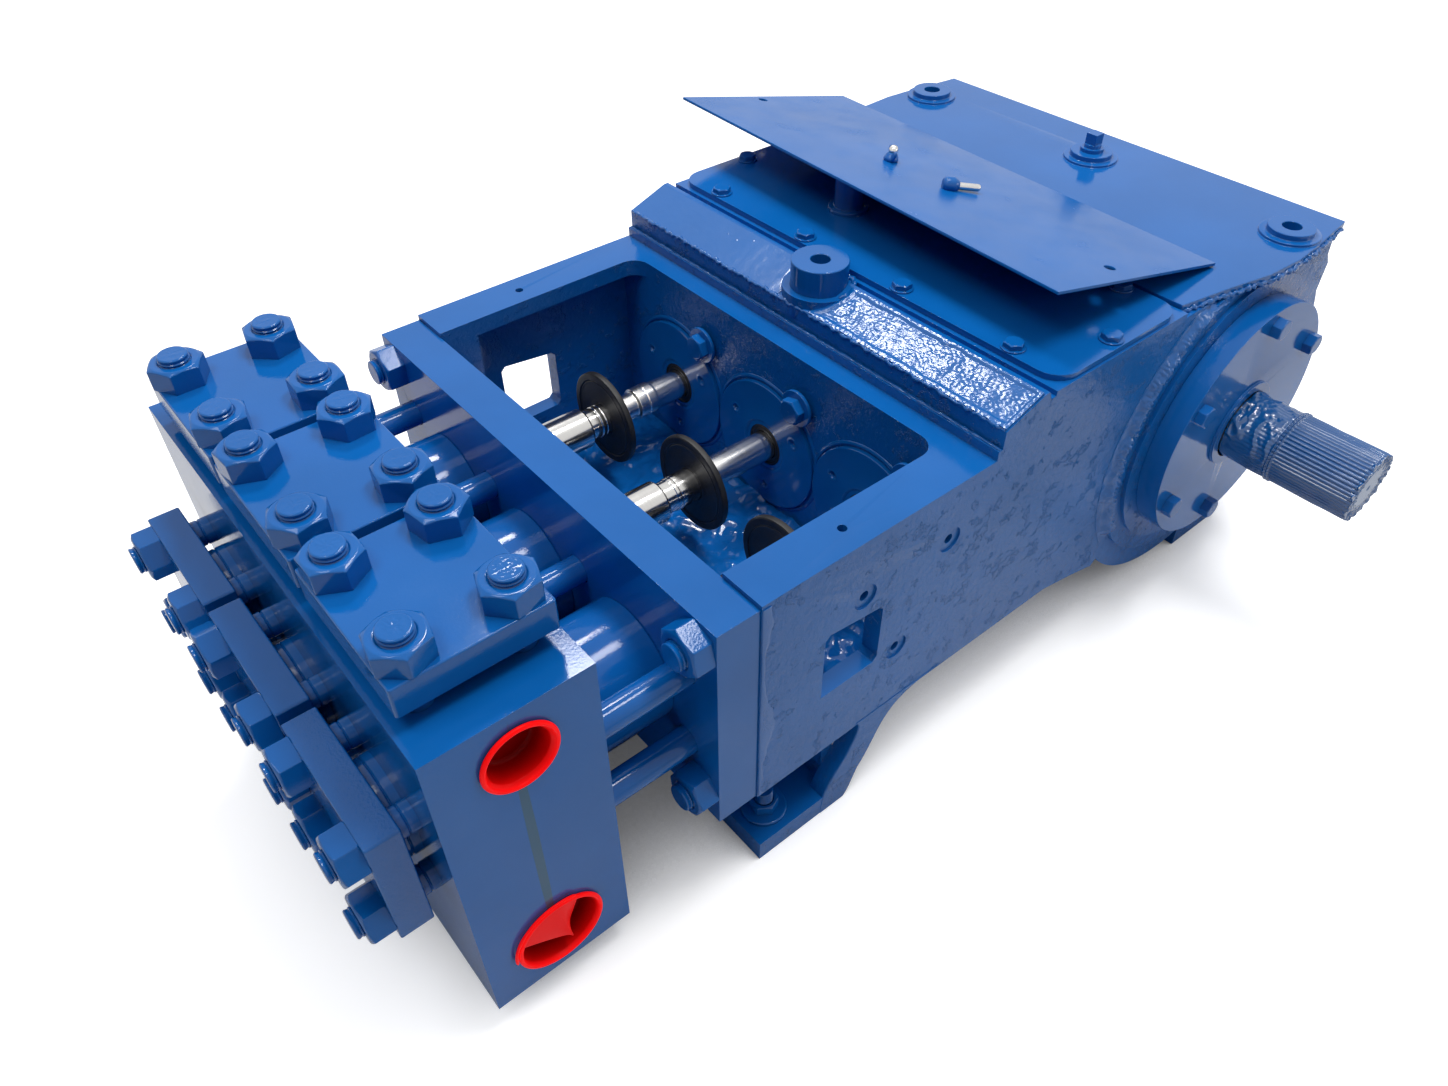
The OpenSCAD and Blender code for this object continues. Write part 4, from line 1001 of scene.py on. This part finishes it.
def makeCaps():
    # The lower cap's rim has a second fold, a thin round lip along most of it.
    for side, name, replaced in ((-1, "Near", ("port_caps",)), (1, "Far", ())):
        fold = arcPath((redCap["x"] - 0.6, side * (redCap["faceY"] + 3.2), redCap["lowerZ"] + 0.6),
                       redCap["lowerR"] + redCap["foldGap"], *redCap["foldArc"], "y", 90)
        parts = [capShell(side, redCap["upperZ"], redCap["upperR"], redCap["upperLip"], redCap["upperDepth"]),
                 capShell(side, redCap["lowerZ"], redCap["lowerR"], redCap["lowerLip"], redCap["lowerDepth"],
                          redCap["lowerShift"]),
                 bead(fold, redCap["foldRadius"], 20.0, 3, 0.05, 16, 1.0)]
        addPiece("portCaps" + name, gather(parts), redPlastic, "pump", replaced, 60)
    torn = addPiece("tornCapFlap", tornFlap(-1, redCap["lowerZ"], redCap["lowerR"]), redFlap, "pump", (),
                    50)
    wall = torn.modifiers.new("wall", "SOLIDIFY")
    wall.thickness = flap["wall"] * mm
    wall.offset = 0
    edge = torn.modifiers.new("edge", "BEVEL")
    edge.width = flap["edge"] * mm
    edge.segments = 2


makeCaps()
print("port caps made")


# The loose sheet's screws
sheet = {"corner": (245.5, 40.0, 406.5), "turn": -2.8, "tilt": 12.5, "screwX": -146.0, "wingY": 43.0, "pinY": -45.0,
         "wingTurn": -35.0, "knobLean": (0.35, 0.2, 1), "pinLean": (0.82, -0.55, 0.05),
         "knob": [[0, 0], [0, 4.6], [4, 5.4], [8, 3.6], [9, 0]],
         "pin": [[0, 0], [0, 3.8], [31, 3.8], [33, 2.6], [33, 0]],
         "head": [[-8, 0], [-8, 5.5], [-5, 8.0], [4, 8.4], [8, 6.2], [10, 4.4], [10, 0]]}
wing = {"hub": [[0, 0], [0, 8], [3, 8.4], [7, 6.4], [9, 5.4], [9, 0]], "root": 3.0, "reach": 15.0, "thick": 1.5,
        "half": 3.0, "swell": 2.6, "height": 8.5, "lift": 5.0, "rows": 12, "cols": 24}


def onSheet(part, y):
    # A part made at one of the screws, carried from the sheet's frame to the pump's: tilt about Y, turn about Z,
    # then move to the sheet's corner.
    b, c = math.radians(sheet["tilt"]), math.radians(sheet["turn"])
    tilt = np.array([[math.cos(b), 0, math.sin(b)], [0, 1, 0], [-math.sin(b), 0, math.cos(b)]])
    turn = np.array([[math.cos(c), -math.sin(c), 0], [math.sin(c), math.cos(c), 0], [0, 0, 1]])
    points = part[0] + np.array((sheet["screwX"], y, 0))
    return points @ (turn @ tilt).T + np.array(sheet["corner"]), part[1]


def wingPart():
    # One wing nut: a hub, and two ears whose half-width and rise grow with the distance from the hub.
    parts = [turned(rounded(wing["hub"], 1.2), (0, 0, 3), (0, 0, 1), 40)]
    u, v = np.meshgrid(np.arange(wing["cols"]) * 2 * math.pi / wing["cols"], np.linspace(0, 1, wing["rows"]))
    inside = v < 0.999                                      # the last row closes to one point
    half = (wing["half"] + wing["swell"] * np.sin(np.pi * np.clip(v * 1.1, 0, 1)) ** 0.7) * inside
    for side in (-1, 1):
        points = np.stack([wing["thick"] * np.cos(u) * inside, side * (wing["root"] + wing["reach"] * v),
                           wing["height"] + wing["lift"] * v ** 1.3 + half * np.sin(u)], axis=-1)
        parts.append((points.reshape(-1, 3), gridFaces(wing["rows"], wing["cols"])))
    points, quads = gather(parts)
    a = math.radians(sheet["wingTurn"])
    return points @ np.array([[math.cos(a), -math.sin(a), 0], [math.sin(a), math.cos(a), 0], [0, 0, 1]]).T, quads


def makeScrews():
    # Knob, pin and head are profiles turned about their own leaning axes.
    knob = turned(rounded(sheet["knob"], 1.5), (0, 0, 11), sheet["knobLean"], 32)
    pin = turned(rounded(sheet["pin"], 0.8), (0, 0, 7), sheet["pinLean"], 32)
    head = turned(rounded(sheet["head"], 1.6), (0, 0, 7.6), sheet["pinLean"], 40)
    for name, part, y, metal, replaced in (("wingNut", wingPart(), sheet["wingY"], smoothPaint, ("wing_screws",)),
                                           ("wingKnob", knob, sheet["wingY"], brightSteel, ()),
                                           ("screwPin", pin, sheet["pinY"], brightSteel, ()),
                                           ("screwHead", head, sheet["pinY"], smoothPaint, ())):
        addPiece(name, onSheet(part, y), metal, "pump", replaced)


makeScrews()
print("loose screws made")


# Rough castings and welds
def skin(grid, down):
    # A patch of raised surface: the grid's rim turns down by the vector down, and one face closes the underside.
    rows, cols = grid.shape[0] + 2, grid.shape[1] + 2
    padded = np.pad(grid, ((1, 1), (1, 1), (0, 0)), mode="edge")
    rim = np.ones((rows, cols))
    rim[1:-1, 1:-1] = 0
    padded = padded + rim[..., None] * np.asarray(down, float)
    index = np.arange(rows * cols).reshape(rows, cols)
    loop = np.concatenate([index[0], index[1:, -1], index[-1, -2::-1], index[-2:0:-1, 0]])
    return (padded.reshape(-1, 3), gridFaces(rows, cols, False)), [loop.tolist()]


slope = {"low": (-119.0, 388.0), "high": (-71.0, 405.0), "bossX": -83.0, "bossRadius": 37.0, "endY": 267.6,
         "border": 4.0, "hammerSize": 7.0, "hammerDepth": 0.24, "nickY": -158, "farSwell": 0.16}


def facets(flat, size, seed):
    # Height of crumpled facets: every cell round a seeded point is a small tilted plane, after the plane
    # is warped with smooth noise; neighbours meet in sharp creases because the highest plane wins.
    rng = np.random.default_rng(seed)
    low, high = flat.reshape(-1, 2).min(axis=0) - size, flat.reshape(-1, 2).max(axis=0) + size
    count = int(np.prod(high - low) / size ** 2 * 1.3)
    seeds = rng.uniform(low, high, size=(count, 2))
    lean, level = rng.normal(0, 0.10, size=(count, 2)), rng.uniform(0, 0.25, size=count)
    bend = np.stack([waves(flat, size * 2, seed + 50), waves(flat, size * 2, seed + 51)], axis=-1)
    warped = flat + 0.25 * size * bend
    gap = warped[..., None, :] - seeds
    rise = level + (gap * lean).sum(axis=-1) - (gap ** 2).sum(axis=-1) * 0.5 / size ** 2
    return rise.max(axis=-1) * 1.6 + 0.6


def makeSlope():
    # Height over the slope: near side, a border round a panel hammered with creased noise; far side, smooth
    # with slow waves and a few specks. Both fade out round the lifting boss.
    low, high = np.array(slope["low"]), np.array(slope["high"])
    span = np.linalg.norm(high - low)
    run = (high - low) / span
    normal = np.array((-run[1], run[0]))
    for side, name in ((-1, "slopeNear"), (1, "slopeFar")):
        t, y = np.meshgrid(np.arange(1.0, span - 0.6, 0.9), side * np.arange(24.0, slope["endY"], 1.0), indexing="ij")
        flat = np.stack([t, y], axis=-1)
        x = low[0] + run[0] * t
        away = np.hypot(x - slope["bossX"], y) - slope["bossRadius"]
        if side < 0:
            crease = facets(flat, slope["hammerSize"], 21) + 0.4 * facets(flat, 4.5, 22)
            nick = np.exp(-((y - slope["nickY"]) / 3.5) ** 2) * 2.0
            edgeWave = 1.4 * waves(flat * (0, 1), 26.0, 23)
            toBorder = np.minimum(np.minimum(t - 1, span - t - nick), slope["endY"] + y) + 0.5 * edgeWave
            border = np.clip(1 - (toBorder - slope["border"]) / 2.4, 0, 1)
            ringLip = np.exp(-((away - 5) / 2.6) ** 2)
            height = 0.5 + slope["hammerDepth"] * crease * (1 - border) + 2.0 * np.maximum(border, ringLip)
            height += 0.12 * waves(flat, 4.0, 24)
        else:
            specks = np.clip(waves(flat, 4.0, 25) - 2.0, 0, 1)
            height = 0.7 + slope["farSwell"] * waves(flat, 70.0, 26) + 0.03 * waves(flat, 12.0, 27) + 0.8 * specks
        height = np.maximum(height, 0.3) * np.clip(away / 2.5 + 0.6, -1, 1)
        grid = np.stack([x + normal[0] * height, y, low[1] + run[1] * t + normal[1] * height], axis=-1)
        part, caps = skin(grid, (normal[0] * -2.5, 0, normal[1] * -2.5))
        addPiece(name, part, slopePaint, "pump", caps=caps, sharp=60)


deckEdge = ((144, 260), (210, 272), (262, 283), (310, 286), (350, 283), (424, 274))


def makeWelds():
    # One across the breast's top and one below it, rings round the filler neck and the lifting boss, and one along
    # each side of the deck.
    lines = [bead([(-118.6, -267, 388.4), (-118.6, 267, 388.4)], 2.0, 7.0, 31, 0.5),
             bead([(-121.5, -268, 369.6), (-121.5, 268, 369.6)], 1.5, 9.0, 32, 0.4),
             bead(arcPath((42, 87, 407.6), 18.5, 0, 360), 3.0, 8.0, 33),
             bead(arcPath((slope["bossX"], 0, 399.5), 34.5, -100, 100), 2.8, 9.0, 34)]
    for side in (-1, 1):
        lines.append(bead([(x, side * (y - 0.4), 397.6) for x, y in deckEdge], 2.7, 6.5, 35 + side, 0.6))
    addPiece("weldBeads", gather(lines), roughPaint, "pump", sharp=70)


ridge = {"inner": 171.0, "outer": 195.0, "padY": 273.4, "wallY": 268.4, "fromAngle": 94.0, "toAngle": 214.0,
         "crestAt": 181.0, "crest": 2.2, "meanRadius": 182, "topZ": 395.0}


def makeBearingRidge():
    # Height over a ring round the bearing: a fillet from the pad down to the wall, roughened with creased noise.
    for side, name in ((-1, "bearingRidgeNear"), (1, "bearingRidgeFar")):
        r, a = np.meshgrid(np.arange(ridge["inner"], ridge["outer"], 0.8),
                           np.radians(np.arange(ridge["fromAngle"], ridge["toAngle"], 0.28)), indexing="ij")
        flat = np.stack([r, a * ridge["meanRadius"]], axis=-1)
        edge = ridge["outer"] - 4 + 3.0 * waves(flat * (0, 1), 30.0, 71)
        fall = np.clip((edge - r) / 14.0, 0, 1)
        fall = fall * fall * (3 - 2 * fall)
        ends = np.clip(np.minimum(a - a.min(), a.max() - a) * ridge["meanRadius"] / 16, 0, 1)
        rough = np.abs(waves(flat, 9.0, 72)) * 0.9 + np.abs(waves(flat, 4.0, 73)) * 0.5
        crestAt = ridge["crestAt"] + 2.0 * waves(flat * (0, 1), 22.0, 74)
        swell = np.exp(-((r - crestAt) / 5.0) ** 2) * ridge["crest"]
        height = 0.35 + (ridge["padY"] - ridge["wallY"]) * fall + ends * (swell + rough * np.clip(fall * 3, 0, 1))
        z = axisZ + r * np.sin(a)
        over = np.clip((z - ridge["topZ"] + 5.0) / 5.0, 0, 1)
        height = height * (1 - over) - 2.0 * over
        grid = np.stack([crankX + r * np.cos(a), side * (ridge["wallY"] + height),
                         np.minimum(z, ridge["topZ"])], axis=-1)
        part, caps = skin(grid, (0, side * -5.8, 0))
        addPiece(name, part, roughPaint, "pump", caps=caps, sharp=60)


floorPatch = {"x": (-388.0, -149.0), "y": (-238.0, 238.0), "z": 151.0, "step": 2.5}


def makeCradleFloor():
    # Height over the cradle floor: slow swells, creased lumps that grow towards the rear wall, and run-off dips.
    x, y = np.meshgrid(np.arange(*floorPatch["x"], floorPatch["step"]),
                       np.arange(*floorPatch["y"], floorPatch["step"]), indexing="ij")
    flat = np.stack([x, y], axis=-1)
    rear = np.clip((x + 330) / 120, 0.25, 1)
    lumps = np.clip(waves(flat, 62.0, 51), -0.6, 1.6) * 3.6 + np.abs(waves(flat, 30.0, 52)) * 2.2
    height = 1.2 + rear * (2.2 + lumps + 0.5 * waves(flat, 12.0, 53))
    grid = np.stack([x, y, floorPatch["z"] + np.maximum(height, 0.4)], axis=-1)
    part, caps = skin(grid, (0, 0, -1.5))
    addPiece("cradleFloor", part, roughPaint, "pump", caps=caps, sharp=60)


strip = {"x": -390.4, "faceY": -268.4, "z": (114.0, 357.0, 1.5), "width": 3.5,
         "bulges": ((13, 208, 34), (7, 338, 26))}           # extra width, height of its middle, half length


def makeWallStrip():
    # A thin skin along the near wall's front edge: its rear edge wanders with smooth noise.
    z, s = np.meshgrid(np.arange(*strip["z"]), np.linspace(0, 1, 18), indexing="ij")
    width = strip["width"] + sum(more * np.exp(-((z - middle) / half) ** 2) for more, middle, half in strip["bulges"])
    x = strip["x"] + np.clip(width + 0.8 * waves(z[..., None], 24.0, 62), 1.5, 20) * s
    rise = 0.35 + 0.55 * np.sin(np.pi * np.clip(s * 1.05, 0, 1)) ** 0.5
    grid = np.stack([x, strip["faceY"] - rise, z], axis=-1)
    part, caps = skin(grid, (0, 1.6, 0))
    addPiece("wallStrip", part, roughPaint, "pump", caps=caps, sharp=60)


leg = {"face": 268.9, "back": 249.9, "edge": 1.6, "count": 60,
       "outer": [(-150, 114), (-176, 112.4), (-195, 109), (-210.6, 102.5), (-221.5, 93), (-230, 81.5), (-237, 68),
                 (-243.6, 55), (-250, 44), (-258, 31.5), (-266.3, 10), (-272.5, 0.4)],
       "inner": [(-268, 114), (-263.6, 109.5), (-262.6, 103), (-265.5, 92), (-271, 80), (-277.5, 68.5), (-286, 57),
                 (-294, 46), (-300.5, 34), (-304, 24), (-306, 12), (-306, 0.4)]}


def smoothLine(points, count):
    # Points spread evenly along a Catmull-Rom curve through the given ones.
    p = np.asarray(points, float)
    p = np.concatenate([2 * p[:1] - p[1:2], p, 2 * p[-1:] - p[-2:-1]])
    t = np.linspace(0, len(points) - 1.0001, count)
    i, f = t.astype(int), (t % 1)[:, None]
    a, b, c, d = p[i], p[i + 1], p[i + 2], p[i + 3]
    return 0.5 * (2 * b + (c - a) * f + (2 * a - 5 * b + 4 * c - d) * f ** 2 + (3 * b - a - 3 * c + d) * f ** 3)


def makeLegs():
    # Each front leg: straight lines across from the outer curve to the inner one, carried round a thick plate
    # with rounded edges.
    count, edge = leg["count"], leg["edge"]
    outer, inner = smoothLine(leg["outer"], count), smoothLine(leg["inner"], count)
    sideways = outer - inner
    sideways /= np.linalg.norm(sideways, axis=1, keepdims=True)
    section = [(0.0, leg["back"])]                          # (inset, height) from the plate's back to its face
    section += [(edge * (1 - math.cos(w)), leg["face"] - edge * (1 - math.sin(w))) for w in np.radians([0, 30, 60, 90])]
    rows = [(outer, inset, y) for inset, y in section] + [(inner, -inset, y) for inset, y in reversed(section)]
    for side, name in ((-1, "frontLegNear"), (1, "frontLegFar")):
        grid = np.stack([np.stack([line[:, 0] - inset * sideways[:, 0], np.full(count, side * y),
                                   line[:, 1] - inset * sideways[:, 1]], axis=-1) for line, inset, y in rows], axis=1)
        cols = grid.shape[1]
        ends = [list(range(cols)), [(count - 1) * cols + i for i in range(cols)][::-1]]
        addPiece(name, (grid.reshape(-1, 3), gridFaces(count, cols)), castPaint, "pump", caps=ends, sharp=35)


makeLegs()
makeSlope()
makeWelds()
makeBearingRidge()
makeCradleFloor()
makeWallStrip()
print("rough castings and welds made")
